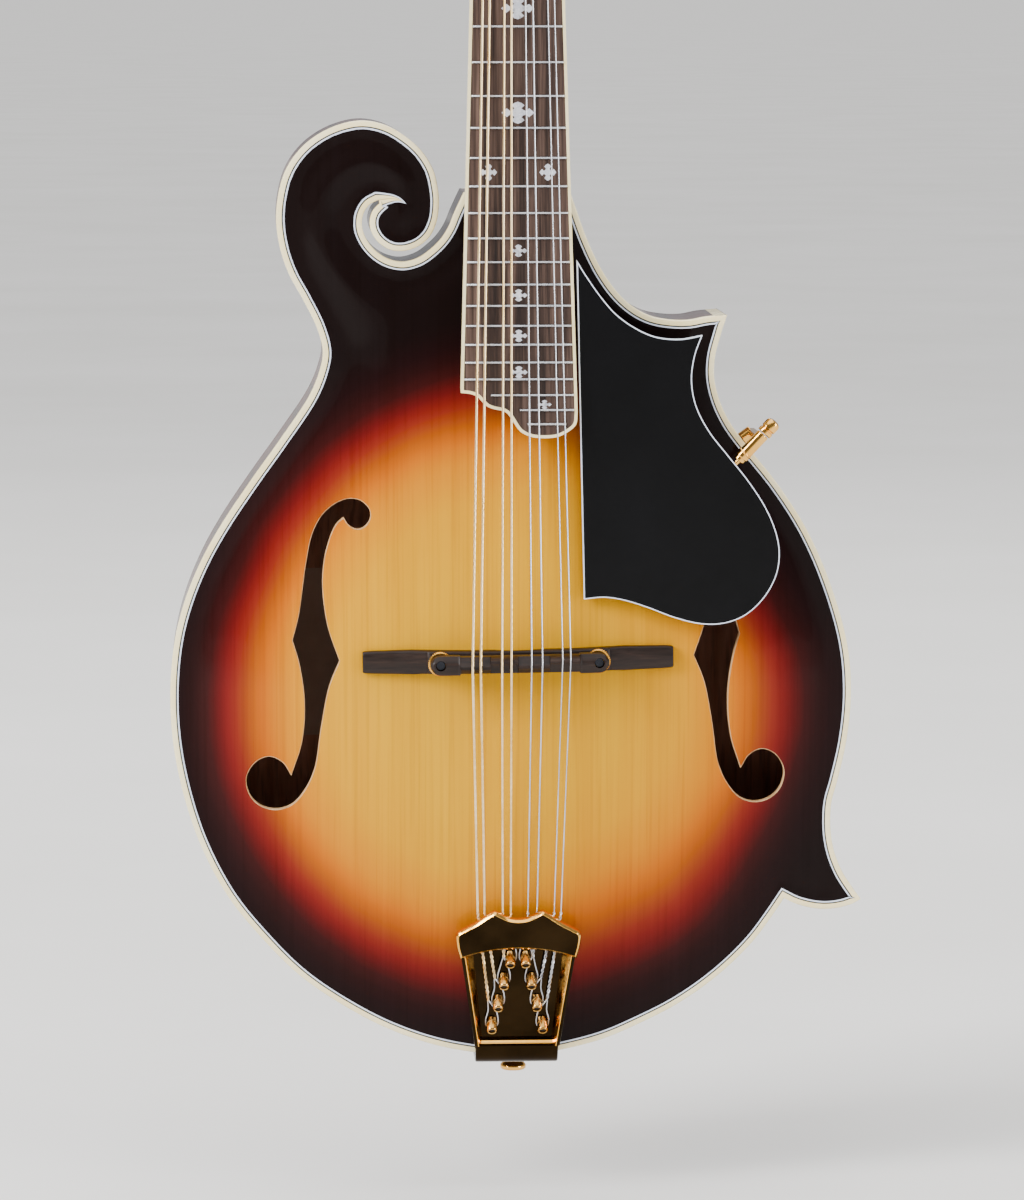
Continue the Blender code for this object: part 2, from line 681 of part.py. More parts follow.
def make_tailpiece(tail_block, ribs):
    floor = [(-15.6, 0), (15.6, 0), (21.4, 41), (23.4, 48), (10, 57.5), (-10, 57.5), (-23.4, 48), (-21.4, 41)]
    tail = slab("tailpiece", floor, 0.0, 1.4, tail_frame)
    for side in (-1, 1):
        wall = [(side * 15.6, 0), (side * 13.2, 0), (side * 18.8, 41), (side * 20.6, 49), (side * 23.4, 48), (side * 21.4, 41)]
        join(tail, slab(f"tail_rail_{side + 2}", wall, 0.7, 6.4, tail_frame))
    join(tail, box("tail_end_rail", (-15, 0.2, 0.6), (15, 2.6, 3.4), tail_frame))
    crown = [
        (-21.5, 40.5), (-18.5, 41.2), (-10, 43.6), (0, 44.6), (10, 43.6), (18.5, 41.2), (21.5, 40.5),
        (23.6, 49), (9, 57.6), (0, 55), (-9, 57.6), (-23.6, 49),
    ]
    join(tail, slab("tail_crown", crown, 6.0, 8.0, tail_frame))
    for i, (x, y) in enumerate(hook_places()):
        join(tail, rod(f"hook_{i}", (x, y, 0.7), (x, y, 5.2), 1.9, tail_frame, 8))
    outside = TAIL_CENTRE[1] - GAP
    bend = box("tail_bend", (-15.5, outside - 2, 0.8), (15.5, -500, 3.6), bench)
    end_plate = box("tail_end_plate", (-15.5, outside - 2, -30), (15.5, outside, 3.0), bench)
    join(tail, bend, end_plate)
    bore_start = (0, -520, -22)
    bore_end = (0, -491, -22)
    for i, obj in enumerate((tail, tail_block, ribs["bass_rib"], ribs["treble_lower_rib"])):
        cut(obj, rod(f"button_bore_{i}", bore_start, bore_end, 2.6, bench, 12))
    dress(tail, GOLD, True)

    face = TAIL_CENTRE[1] - GAP - 2.0 - GAP
    profile = [(0, 9), (4.6, 9), (5.2, 8), (5.2, 6.8), (4.2, 5.6), (3.4, 3.6), (4.4, 0.8), (4.4, 0), (2.1, 0), (2.1, -15), (0, -15)]
    button = turned("strap_button", profile, bench, (0, face, -22), (math.pi / 2, 0.0, 0.0), 12)
    dress(button, GOLD, True)


def make_pickguard():
    top = 17.0
    guard = slab("pickguard", PICKGUARD_EDGE, top - 2.2, top, bench)
    dress(guard, GUARD_BLACK)
    arm = rod("pickguard_bracket", (76, -285, 13.3), (91.4, -268.6, 13.3), 0.9, bench, 10)
    tab = box("bracket_tab", (68, -293, 13.1), (79, -281, 14.5), bench)
    join(arm, tab)
    barrel = rod("bracket_barrel", (86.8, -273.5, 13.3), (91.4, -268.6, 13.3), 2.4, bench, 10)
    join(arm, barrel)
    leg = box("bracket_leg", (89.2, -271.3, -22), (91.8, -268.8, 13.3), bench)
    foot = rod("bracket_foot", (90.6, -269.8, -19), (86.57, -272.68, -19), 2.4, bench, 12)
    join(arm, leg, foot)
    dress(arm, GOLD, True)
    knob = rod("pickguard_clamp_nut", (91.9, -268.1, 13.3), (95.6, -264.2, 13.3), 2.6, bench, 12)
    dress(knob, GOLD, True)


# ---------------------------------------------------------------- tuners and strings


def make_tuners():
    for side, name in ((-1, "bass"), (1, "treble")):
        far = FIRST_POST + POST_PITCH * 3 + 11
        inner = side * (POST_ROW - 7.5)
        outer = side * (POST_ROW + 7.5)
        low = (min(inner, outer), FIRST_POST - 15, -14.5)
        high = (max(inner, outer), far, -13.3)
        plate = box(name + "_tuner_plate", low, high, head)
        for i in range(4):
            y = FIRST_POST + POST_PITCH * i
            x = side * POST_ROW
            cut(plate, rod(f"{name}_plate_hole_{i}", (x, y, -20), (x, y, -10), POST_RADIUS + 0.6, head, 10))
            worm_y = y - WORM_OFFSET
            for place_x in (x - 6.7, x + 5.3):
                ear = box(
                    f"{name}_ear_{i}_{place_x:.0f}",
                    (place_x, worm_y - 2.6, -19.4),
                    (place_x + 1.4, worm_y + 2.6, -14.0),
                    head,
                )
                join(plate, ear)
            shaft_way = rod(f"{name}_ear_bore_{i}", (x - 12, worm_y, -16.6), (x + 12, worm_y, -16.6), 1.7, head, 8)
            cut(plate, shaft_way)
        dress(plate, GOLD)

    for number, x, y in post_places():
        profile = [
            (0, POST_TOP), (POST_RADIUS, POST_TOP), (POST_RADIUS, 9.2), (2.4, 8.2), (2.4, 6.4), (POST_RADIUS, 5.4),
            (POST_RADIUS, GEAR_TOP), (GEAR_RADIUS, GEAR_TOP), (GEAR_RADIUS, GEAR_BOTTOM), (0, GEAR_BOTTOM),
        ]
        dress(turned(f"string_post_{number}", profile, head, (x, y, 0), steps=12), GOLD, True)
        side = math.copysign(1.0, x)
        key = [
            (0, 50), (2.8, 49.6), (5.4, 47), (6.4, 43), (5.2, 39.5), (2.6, 37), (2.6, 34.5), (1.35, 34),
            (1.35, 23), (1.35, 21.9), (WORM_RADIUS, 21.9), (WORM_RADIUS, 12.1), (1.35, 12.1), (1.35, 9.6), (0, 9.6),
        ]
        turn = (0.0, side * math.pi / 2, 0.0)
        worm_y = y - WORM_OFFSET
        button = turned(f"tuner_button_{number}", key, head, (0, worm_y, -16.6), turn, steps=8)
        dress(button, IVOROID, True)


def make_strings():
    """Each string from its hook, over saddle and nut, to its post."""
    hooks = sorted(hook_places(), key=lambda point: (point[0] > 0, point[1] if point[0] < 0 else -point[1]))
    bench_from_head = bench.matrix_world.inverted() @ head.matrix_world
    bench_from_tail = bench.matrix_world.inverted() @ tail_frame.matrix_world
    for i, (number, post_x, post_y) in enumerate(post_places()):
        radius = STRING_RADII[i]
        side = 1 if post_x > 0 else -1
        hook_x, hook_y = hooks[i]
        lift = radius + GAP
        start = bench_from_tail @ (Vector((hook_x + side * 2.6, hook_y + 1.5, 3.2)) * MM) / MM
        crown = bench_from_tail @ (Vector((STRINGS_AT_SADDLE[i] * 0.86, 57.0, 4.2)) * MM) / MM
        saddle_x = STRINGS_AT_SADDLE[i]
        top = SADDLE_TOP + lift
        nut_x = STRINGS_AT_NUT[i]
        near_post = Vector((post_x - side * (2.4 + lift), post_y - 1.0, 7.3))
        end = bench_from_head @ (near_post * MM) / MM
        path = [
            start,
            crown,
            Vector((saddle_x, -SCALE_LENGTH - 1.2, top)),
            Vector((saddle_x, -SCALE_LENGTH + 1.2, top)),
            Vector((nut_x, 0.0, NUT_TOP + lift)),
            Vector((nut_x, NUT_LENGTH + 0.6, NUT_TOP + lift - 0.1)),
            end,
        ]
        string = tube(f"string_{number}", path, radius, bench, 1)
        dress(string, BRONZE if number <= 4 else STEEL, True)


# ---------------------------------------------------------------- assembly

clear_scene()
parts = collection("mandolin")
helpers = collection("cutters")

SPRUCE = material("spruce", (0.62, 0.25, 0.05), 0.25)
MAPLE = material("maple", (0.62, 0.42, 0.22), 0.5)
MAPLE_DARK = material("maple_dark_stain", (0.10, 0.02, 0.01), 0.25)
CREAM = material("cream_binding", (0.85, 0.79, 0.62), 0.3)
ROSEWOOD = material("rosewood", (0.10, 0.055, 0.035), 0.5)
EBONY = material("ebony", (0.015, 0.012, 0.011), 0.3)
BRIDGE_WOOD = material("bridge_wood", (0.05, 0.03, 0.02), 0.45)
BONE = material("bone", (0.85, 0.8, 0.68), 0.4)
IVOROID = material("ivoroid", (0.88, 0.85, 0.75), 0.25)
GOLD = material("gold_plate", (0.83, 0.6, 0.25), 0.2, 1.0)
BRASS = material("brass", (0.7, 0.5, 0.2), 0.35, 1.0)
STEEL = material("steel", (0.6, 0.6, 0.62), 0.3, 1.0)
BRONZE = material("bronze_wound", (0.7, 0.5, 0.3), 0.35, 1.0)
GUARD_BLACK = material("guard_black", (0.01, 0.01, 0.01), 0.08)

body_edge = (
    SLOT_EDGE + BASS_EDGE + [TAIL_CENTRE] + TREBLE_LOWER_EDGE + [LOWER_TIP]
    + WAIST_EDGE + [UPPER_TIP] + TREBLE_UPPER_EDGE
)

bench = frame("bench", (0, 0, 0), (math.pi / 2, 0.0, 0.0))
board = frame("board_frame", (0, 0, BOARD_HEIGHT_AT_NUT), (-math.atan(BOARD_RISE), 0.0, 0.0), bench)
head = frame("headstock_frame", (0, NUT_LENGTH + 0.5, -3.0), (-HEAD_TILT, 0.0, 0.0), bench)
bridge = frame("bridge_frame", (0, -SCALE_LENGTH, 0), (0.0, 0.0, BRIDGE_SKEW), bench)
tail_frame = frame("tail_frame", (0, TAIL_Y, TAIL_Z), (TAIL_TILT, 0.0, 0.0), bench)
bpy.context.view_layer.update()

make_plates()
rim_ribs, rim_blocks = make_rim()
make_neck(rim_blocks["head_block"])
make_fingerboard()
make_bridge()
make_tailpiece(rim_blocks["tail_block"], rim_ribs)
make_pickguard()
make_tuners()
make_strings()
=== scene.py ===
"""Looks of the carved-top mandolin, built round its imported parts.

Shapes are written in the part's bench frame, in millimetres: x towards the treble side,
y along the neck towards the headstock, z up out of the top. STAND turns that frame
upright and into metres. The headstock, fingerboard, bridge and tailpiece have frames of
their own on the bench.
"""

import math

import bmesh
import bpy
import numpy as np
from mathutils import Matrix, Vector
from mathutils.geometry import delaunay_2d_cdt


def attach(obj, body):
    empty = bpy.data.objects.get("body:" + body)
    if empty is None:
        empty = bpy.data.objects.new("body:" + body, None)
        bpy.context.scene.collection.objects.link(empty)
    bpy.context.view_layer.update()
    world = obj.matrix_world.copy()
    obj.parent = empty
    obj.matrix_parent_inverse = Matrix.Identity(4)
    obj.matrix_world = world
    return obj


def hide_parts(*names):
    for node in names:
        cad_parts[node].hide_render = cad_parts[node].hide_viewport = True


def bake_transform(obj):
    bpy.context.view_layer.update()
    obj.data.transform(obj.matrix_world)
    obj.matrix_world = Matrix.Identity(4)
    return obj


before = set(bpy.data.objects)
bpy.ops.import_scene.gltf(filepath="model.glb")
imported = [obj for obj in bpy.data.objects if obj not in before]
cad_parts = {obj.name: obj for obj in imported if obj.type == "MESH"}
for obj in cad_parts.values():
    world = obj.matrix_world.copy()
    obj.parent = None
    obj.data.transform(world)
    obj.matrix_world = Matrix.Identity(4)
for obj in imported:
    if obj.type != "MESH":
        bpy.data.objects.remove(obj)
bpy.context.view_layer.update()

# ---------------------------------------------------------------- sizes, as in the part

SCALE_LENGTH = 352.4
NUT_WIDTH = 29.3
BOARD_TAPER = 0.0556
BOARD_RISE = 25.0 / SCALE_LENGTH
BODY_DEPTH = 44.0
TOP_ARCH = 14.0
BACK_ARCH = 12.0
ARCH_SOFTNESS = 45.0
EDGE_DIP = 0.8
PLATE = 4.0
SADDLE_TOP = 32.0
BRIDGE_POST_X = 29.5
FOOT_ARCH = 14.4
POST_ROW = 17.0
POST_PITCH = 23.0
FIRST_POST = 34.0
WORM_DROP = 8.9
WORM_Z = -16.6
STRING_HOLE_Z = 7.3
STRING_RADII = (0.48, 0.48, 0.42, 0.42, 0.28, 0.28, 0.23, 0.23)
STRINGS_AT_NUT = (-11.0, -8.6, -4.2, -2.0, 2.2, 4.4, 9.0, 11.2)
STRINGS_AT_SADDLE = (-17.8, -14.8, -6.9, -3.4, 4.1, 8.1, 15.6, 18.6)

SLOT_EDGE = [
    (-19.5, -178.5), (-23, -186), (-25.3, -191.5), (-28, -195.7), (-31.8, -199.5),
    (-36.5, -202.8), (-42, -204.3), (-47, -203.5), (-51.5, -201), (-55.2, -197),
    (-57.4, -192), (-57.2, -187), (-55, -183.2), (-51.8, -181.4),
]
SLIT = [
    (-51.8, -181.4), (-49, -181.0), (-46.6, -180.8), (-44.1, -181.1), (-42.3, -181.9),
    (-41, -182.8), (-39.9, -183.9),
]
BASS_EDGE = [
    (-51, -182.6), (-53.2, -184.8), (-54.6, -188.5), (-54.2, -192.7), (-51.5, -197),
    (-46.8, -199.9), (-41.5, -200.2), (-36, -198.2), (-32, -194.5), (-29.6, -189),
    (-28.8, -182), (-29.3, -176.5), (-31, -169.8), (-35, -163.3), (-40.7, -158),
    (-49, -153.3), (-58.5, -151.8), (-70.3, -155), (-80, -161.8), (-86.5, -171.5),
    (-89.5, -186), (-88.4, -198), (-85, -208.5), (-79.6, -218.5), (-74.5, -229),
    (-72.3, -238), (-73.7, -245.5), (-77.5, -254.5), (-88.6, -271), (-99, -285.5),
    (-110.8, -303), (-118.6, -317), (-124.7, -332), (-128.5, -347), (-130.2, -366),
    (-129.2, -385.5), (-125.4, -405), (-119, -424.5), (-108.8, -444), (-97, -459),
    (-82, -474.3), (-65, -486.3), (-47.5, -495.6), (-29, -502), (-10, -505.3),
    (0.5, -505.7),
]
TREBLE_LOWER_EDGE = [
    (0.5, -505.7), (11, -505), (32, -500.2), (47, -494), (62.5, -486), (77.5, -475.2),
    (90, -463), (97.5, -453), (102, -446.3),
]
LOWER_POINT_EDGE = [
    (102, -446.3), (106, -448.3), (112, -450), (117.5, -450.6), (123.5, -450),
    (128, -448.6), (131.2, -446.8),
]
WAIST_EDGE = [
    (131.2, -446.8), (128, -442.3), (124, -436), (121, -428.3), (119.6, -420.5),
    (119.8, -410), (122, -401.5), (125.4, -386), (127, -368), (125.4, -349),
    (118.8, -326), (110, -306), (99.2, -289), (85.6, -272), (80.6, -265),
    (76.7, -257), (74.6, -248.3), (74.8, -240.5), (76.8, -232.5), (79.2, -224.6),
]
TREBLE_UPPER_EDGE = [
    (79.2, -224.6), (71.5, -225.2), (65, -226.4), (58, -226.3), (51, -225), (45.2, -222.2),
    (39.2, -217.2), (33, -209), (27, -197), (20.3, -178.5),
]
BASS_F_HOLE = [
    (-62.9, -292.3), (-65.2, -292.8), (-67.8, -294), (-70.6, -296), (-72.9, -298.3),
    (-75, -301.5), (-77.3, -307), (-79.5, -318), (-82, -335.5), (-84.5, -345.5),
    (-81.8, -355), (-80, -369.5), (-81.2, -384), (-85, -396), (-88, -391.5), (-93, -389.3),
    (-98.5, -391.7), (-102, -398), (-100.5, -405), (-96, -409), (-90, -410),
    (-84.3, -407.8), (-79.5, -402), (-76, -394), (-73.5, -378), (-70.5, -363),
    (-66.5, -353), (-71, -339.5), (-72.8, -325), (-72.1, -315.8), (-70.7, -309.8),
    (-68.9, -304.8), (-67.1, -301.8), (-65, -300), (-63.5, -302.3), (-61.9, -303.5),
    (-59.9, -304.1), (-57.9, -303.7), (-55.9, -302.1), (-54.8, -299.9), (-54.7, -297.9),
    (-55.3, -295.9), (-56.7, -294.3), (-58.6, -292.9), (-60.8, -292.3),
]
F_HOLE_TIPS = ((-84.5, -345.5), (-85, -396), (-66.5, -353), (-65, -300))
F_HOLE_CORNERS = [BASS_F_HOLE.index(p) for p in F_HOLE_TIPS]
# Where the sunburst's dark rim gives way to red, and where its red has turned to amber. Partly
# painted shade: on the treble side, away from the light, the dark rim and the red band are drawn
# wider.
DARK_RIM_AND_SHADE = [
    (-18, -246), (-38, -253.5), (-55, -262), (-72, -275), (-85, -290), (-95, -304),
    (-102, -320), (-108.5, -335), (-112.5, -350), (-114.5, -366), (-114, -382),
    (-111.5, -397), (-106.5, -411), (-99.5, -425.5), (-89.8, -440), (-76.5, -454.5),
    (-58, -469), (-38, -478.5), (-18, -484), (2, -484.5), (22, -480), (42, -472),
    (58, -463.5), (70, -454), (81, -440), (89, -425.5), (97, -411), (103, -396),
    (107, -381), (107.5, -366), (105, -351), (97, -336), (90, -322), (82, -305),
    (70, -288), (52, -268), (35, -252), (20, -240),
]
AMBER_CORE = [
    (-8, -274), (-22, -276), (-35, -281), (-52, -291.5), (-65, -305), (-76, -320),
    (-84, -335), (-89, -350), (-91.5, -366), (-90.5, -381), (-86.5, -396), (-80, -410.5),
    (-70, -425), (-54, -440), (-32, -450), (-5, -453), (14, -448), (30, -438),
    (48.5, -428.5), (64, -414), (73.5, -398.5), (78, -382), (79, -366), (77, -350), (71, -335),
    (62, -320), (54, -305), (43, -290), (28, -276), (8, -266),
]
BOARD_TIP = [
    (-21.6, -250.5), (-21.5, -252.6), (-18, -253), (-15.5, -254), (-12, -257.5),
    (-9.5, -258.6), (-5.5, -259.5), (-3.8, -260.8), (-2, -263.5), (0.5, -267),
    (4.5, -269), (9.5, -269.5), (14.5, -269), (18.5, -267), (21.2, -264.5), (21.8, -260),
]
PICKGUARD_EDGE = [
    (21.6, -203), (25, -208.5), (31, -217), (36.5, -223.2), (43.5, -228.2), (51, -231.5),
    (60, -232.4), (68.5, -231), (65.8, -238.5), (64.6, -247.5), (66.2, -257), (71, -266.5),
    (78, -275.5), (86, -285.5), (92.5, -295.5), (96.5, -305), (97.8, -313), (96.6, -321),
    (92, -329.5), (85, -336), (77, -339), (68.5, -339.2), (58.5, -336.8), (48, -332.8),
    (39, -330), (32, -329), (24.5, -329.6),
]
HEAD_SIDE = [
    (-14.8, 0.5), (-15.4, 6), (-18.5, 13), (-23.5, 18), (-27.5, 24), (-29, 32), (-28, 50),
    (-27, 72), (-27.5, 92), (-30.5, 108), (-36, 120), (-40.5, 132), (-40, 144), (-34, 153),
    (-25, 156.5), (-16.5, 153.5), (-12.5, 146.5), (-9, 142.5), (-4.5, 143), (1.5, 148.5),
    (8, 157), (17, 163), (27, 163), (35, 157), (38.5, 147.5), (37, 138), (31, 131),
    (28.5, 122), (29, 108), (27.5, 92), (27, 72), (28, 50), (29, 32), (27.5, 24),
    (23.5, 18), (18.5, 13), (15.4, 6), (14.8, 0.5),
]

BENCH = Matrix.Identity(4)
BOARD = Matrix.Translation((0, 0, 2)) @ Matrix.Rotation(-math.atan(BOARD_RISE), 4, "X")
HEAD = Matrix.Translation((0, 5, -3)) @ Matrix.Rotation(-math.radians(14), 4, "X")
BRIDGE = Matrix.Translation((0, -SCALE_LENGTH, 0)) @ Matrix.Rotation(math.radians(0.75), 4, "Z")
TAIL = Matrix.Translation((0, -506, 1.4)) @ Matrix.Rotation(math.atan(0.2), 4, "X")
STAND = Matrix.Scale(0.001, 4) @ Matrix.Rotation(math.pi / 2, 4, "X")


# ---------------------------------------------------------------- curves and distances


def between(t, start, end, a, b):
    return (end - t) / (end - start) * a + (t - start) / (end - start) * b


def spline(points, step=1.5, closed=False, corners=()):
    """Points along the smooth curve through the given ones, which stays sharp at corners."""
    points = [np.array(p, float) for p in points]
    count = len(points)
    sharp = set(corners) if closed else set(corners) | {0, count - 1}
    out = []
    for i in range(count if closed else count - 1):
        j = (i + 1) % count
        a, b = points[i], points[j]
        before = 2 * a - b if i in sharp else points[i - 1]
        after = 2 * b - a if j in sharp else points[(j + 1) % count]
        knots = [0.0]
        for p, q in ((before, a), (a, b), (b, after)):
            knots.append(knots[-1] + max(np.linalg.norm(q - p), 1e-6) ** 0.5)
        t0, t1, t2, t3 = knots
        pieces = max(1, round(np.linalg.norm(b - a) / step))
        for k in range(pieces):
            t = t1 + (t2 - t1) * k / pieces
            p1 = between(t, t0, t1, before, a)
            p2 = between(t, t1, t2, a, b)
            p3 = between(t, t2, t3, b, after)
            q1 = between(t, t0, t2, p1, p2)
            q2 = between(t, t1, t3, p2, p3)
            out.append(between(t, t1, t2, q1, q2))
    if not closed:
        out.append(points[-1])
    return np.array(out)


def miters(points, closed):
    """At each point, the vector that moves both its edges one unit to their left."""
    points = np.asarray(points, float)
    step = np.roll(points, -1, 0) - points
    if not closed:
        step[-1] = step[-2]
    step /= np.maximum(np.linalg.norm(step, axis=1), 1e-9)[:, None]
    left = np.stack([-step[:, 1], step[:, 0]], 1)
    before = np.roll(left, 1, 0)
    if not closed:
        before[0] = left[0]
    fold = np.maximum(1 + (left * before).sum(1), 0.25)
    return (left + before) / fold[:, None]


def inset(outline, distance):
    """A closed outline moved inwards."""
    outline = np.asarray(outline, float)
    following = np.roll(outline, -1, 0)
    area = (outline[:, 0] * following[:, 1] - following[:, 0] * outline[:, 1]).sum()
    return outline + miters(outline, True) * distance * (1 if area > 0 else -1)


def segment_distance(spots, line, closed=True):
    """Distance from each spot to the nearest place on a line of points."""
    spots = np.asarray(spots, float)
    line = np.asarray(line, float)
    ends = np.roll(line, -1, 0) if closed else line[1:]
    starts = line if closed else line[:-1]
    best = np.full(len(spots), 1e9)
    for a, b in zip(starts, ends):
        along = b - a
        part = np.clip((spots - a) @ along / max(along @ along, 1e-12), 0, 1)
        best = np.minimum(best, ((spots - a - part[:, None] * along) ** 2).sum(1))
    return np.sqrt(best)


def inside(spots, outline):
    """Whether each spot lies in a closed outline."""
    spots = np.asarray(spots, float)
    outline = np.asarray(outline, float)
    found = np.zeros(len(spots), bool)
    for (ax, ay), (bx, by) in zip(outline, np.roll(outline, -1, 0)):
        if ay == by:
            continue
        crosses = (ay > spots[:, 1]) != (by > spots[:, 1])
        found ^= crosses & (spots[:, 0] < (bx - ax) * (spots[:, 1] - ay) / (by - ay) + ax)
    return found


def ease(value, low, high):
    """A smooth step from 0 at low to 1 at high."""
    t = np.clip((np.asarray(value, float) - low) / (high - low), 0, 1)
    return t * t * (3 - 2 * t)


# ---------------------------------------------------------------- the body's edge

EDGE_STEP = 1.5
spans = [spline(SLOT_EDGE, 1.0)[:-1]]
slit = spline(SLIT, 0.7)
spans += [slit[:-1], slit[::-1][:-1]]
for line in (BASS_EDGE, TREBLE_LOWER_EDGE, LOWER_POINT_EDGE, WAIST_EDGE, TREBLE_UPPER_EDGE):
    spans.append(spline(line, EDGE_STEP)[:-1])
spans.append(np.array([TREBLE_UPPER_EDGE[-1]], float))
starts = np.cumsum([0] + [len(span) for span in spans])
EDGE = np.concatenate(spans)
SLIT_START, SLIT_END = int(starts[1]), int(starts[3])
TAIL_AT, LOWER_TIP, UPPER_TIP = (int(starts[i]) for i in (4, 6, 7))
LAST = len(EDGE) - 1

slit_length = np.zeros(len(EDGE))
run = np.concatenate([[0], np.cumsum(np.linalg.norm(np.diff(slit, axis=0), axis=1))])
slit_length[SLIT_START:SLIT_END] = np.concatenate([run[:-1], run[::-1][:-1]])
OPEN_EDGE = np.concatenate([EDGE[:SLIT_START], EDGE[SLIT_END:]])
EDGE_MITERS = miters(EDGE, False)
EDGE_MITERS[0] = (1.0, 0.0)
EDGE_MITERS[LAST] = (-1.0, 0.0)


def reach_of_edge():
    """How far inwards each point of the edge can go before it meets another side."""
    reach = np.full(len(EDGE), 9.0)
    live = np.ones(len(EDGE), bool)
    live[SLIT_START:SLIT_END] = False
    for width in np.arange(0.25, 5.01, 0.25):
        spots = EDGE + EDGE_MITERS * width
        short = segment_distance(spots, OPEN_EDGE, False) < width * 0.97 - 0.03
        reach[live & short & (reach > width)] = width - 0.25
    reach[[LOWER_TIP, UPPER_TIP]] = 0.0
    return reach


EDGE_REACH = reach_of_edge()


def ring(width):
    """The edge moved inwards. Along the slit the width runs out, to a point."""
    runs_out = 9.7 + max(0.0, width - 2.5) / 1.4 * 3.3
    share = np.clip(1 - slit_length / runs_out, 0, 1)
    share[:SLIT_START] = 1.0
    share[SLIT_END:] = 1.0
    return EDGE + EDGE_MITERS * (np.minimum(width, EDGE_REACH) * share)[:, None]


# ---------------------------------------------------------------- heights of the plates

GRID = 1.5
GRID_X = np.arange(-138, 140, GRID)
GRID_Y = np.arange(-512, -140, GRID)


def blurred(field, spread):
    """A field smoothed over a distance."""
    reach = int(3 * spread / GRID)
    kernel = np.exp(-0.5 * (np.arange(-reach, reach + 1) * GRID / spread) ** 2)
    kernel /= kernel.sum()
    for axis in (0, 1):
        margins = [(reach, reach) if a == axis else (0, 0) for a in (0, 1)]
        padded = np.pad(field, margins, "edge")
        field = np.apply_along_axis(lambda row: np.convolve(row, kernel, "valid"), axis, padded)
    return field


def field_of(function):
    """A function of the place, worked out on the grid."""
    xs, ys = np.meshgrid(GRID_X, GRID_Y)
    spots = np.stack([xs.ravel(), ys.ravel()], 1)
    return function(spots).reshape(xs.shape)


def sample(field, spots):
    """A field's values at places between the grid's points."""
    spots = np.asarray(spots, float)
    gx = np.clip((spots[:, 0] - GRID_X[0]) / GRID, 0, len(GRID_X) - 1.001)
    gy = np.clip((spots[:, 1] - GRID_Y[0]) / GRID, 0, len(GRID_Y) - 1.001)
    ix, iy = gx.astype(int), gy.astype(int)
    fx, fy = gx - ix, gy - iy
    return (
        field[iy, ix] * (1 - fx) * (1 - fy) + field[iy, ix + 1] * fx * (1 - fy)
        + field[iy + 1, ix] * (1 - fx) * fy + field[iy + 1, ix + 1] * fx * fy
    )


DEPTH_IN = field_of(lambda spots: segment_distance(spots, OPEN_EDGE, False))
_, row_y = np.meshgrid(GRID_X, GRID_Y)
TOWARDS_NECK = np.clip((row_y + 350) / 170, 0, 1)


def arch_field(height):
    """The carved arch, with a shallow dip inside its edge and a low ridge at the scroll."""
    rise = height * (1 - np.exp(-((DEPTH_IN / ARCH_SOFTNESS) ** 2))) * (1 - 0.5 * TOWARDS_NECK)
    share = ease(DEPTH_IN, 8, 26)
    rise = rise * (1 - share) + blurred(rise, 6.0) * share
    rise -= EDGE_DIP * np.exp(-(((DEPTH_IN - 9.5) / 4.5) ** 2)) * ease(DEPTH_IN, 3.6, 7)
    ridge = 1.1 * ease(DEPTH_IN, 4.5, 15) * ease(row_y, -236, -205)
    return rise + ridge


TOP_FIELD = arch_field(TOP_ARCH)
BACK_FIELD = arch_field(BACK_ARCH)


def burst(spots):
    """0 to 1/3 in the dark rim, 1/3 to 2/3 from red to amber, and on to 1 in the middle."""
    dark = segment_distance(spots, DARK_RIM_AND_SHADE)
    amber = segment_distance(spots, AMBER_CORE)
    in_dark = inside(spots, DARK_RIM_AND_SHADE)
    in_amber = inside(spots, AMBER_CORE)
    value = dark / np.maximum(dark + amber, 1e-6)
    value[~in_dark] = -np.minimum(dark[~in_dark] / 20, 1)
    value[in_amber] = 1 + np.minimum(amber[in_amber] / 40, 1)
    return (value + 1) / 3


BURST = blurred(field_of(burst), 2.5)


# ---------------------------------------------------------------- finishes


def tint(code):
    """An sRGB colour such as 'E38C31' as linear light."""
    parts = [int(code[i : i + 2], 16) / 255 for i in (0, 2, 4)]
    return (*[p / 12.92 if p <= 0.04045 else ((p + 0.055) / 1.055) ** 2.4 for p in parts], 1.0)


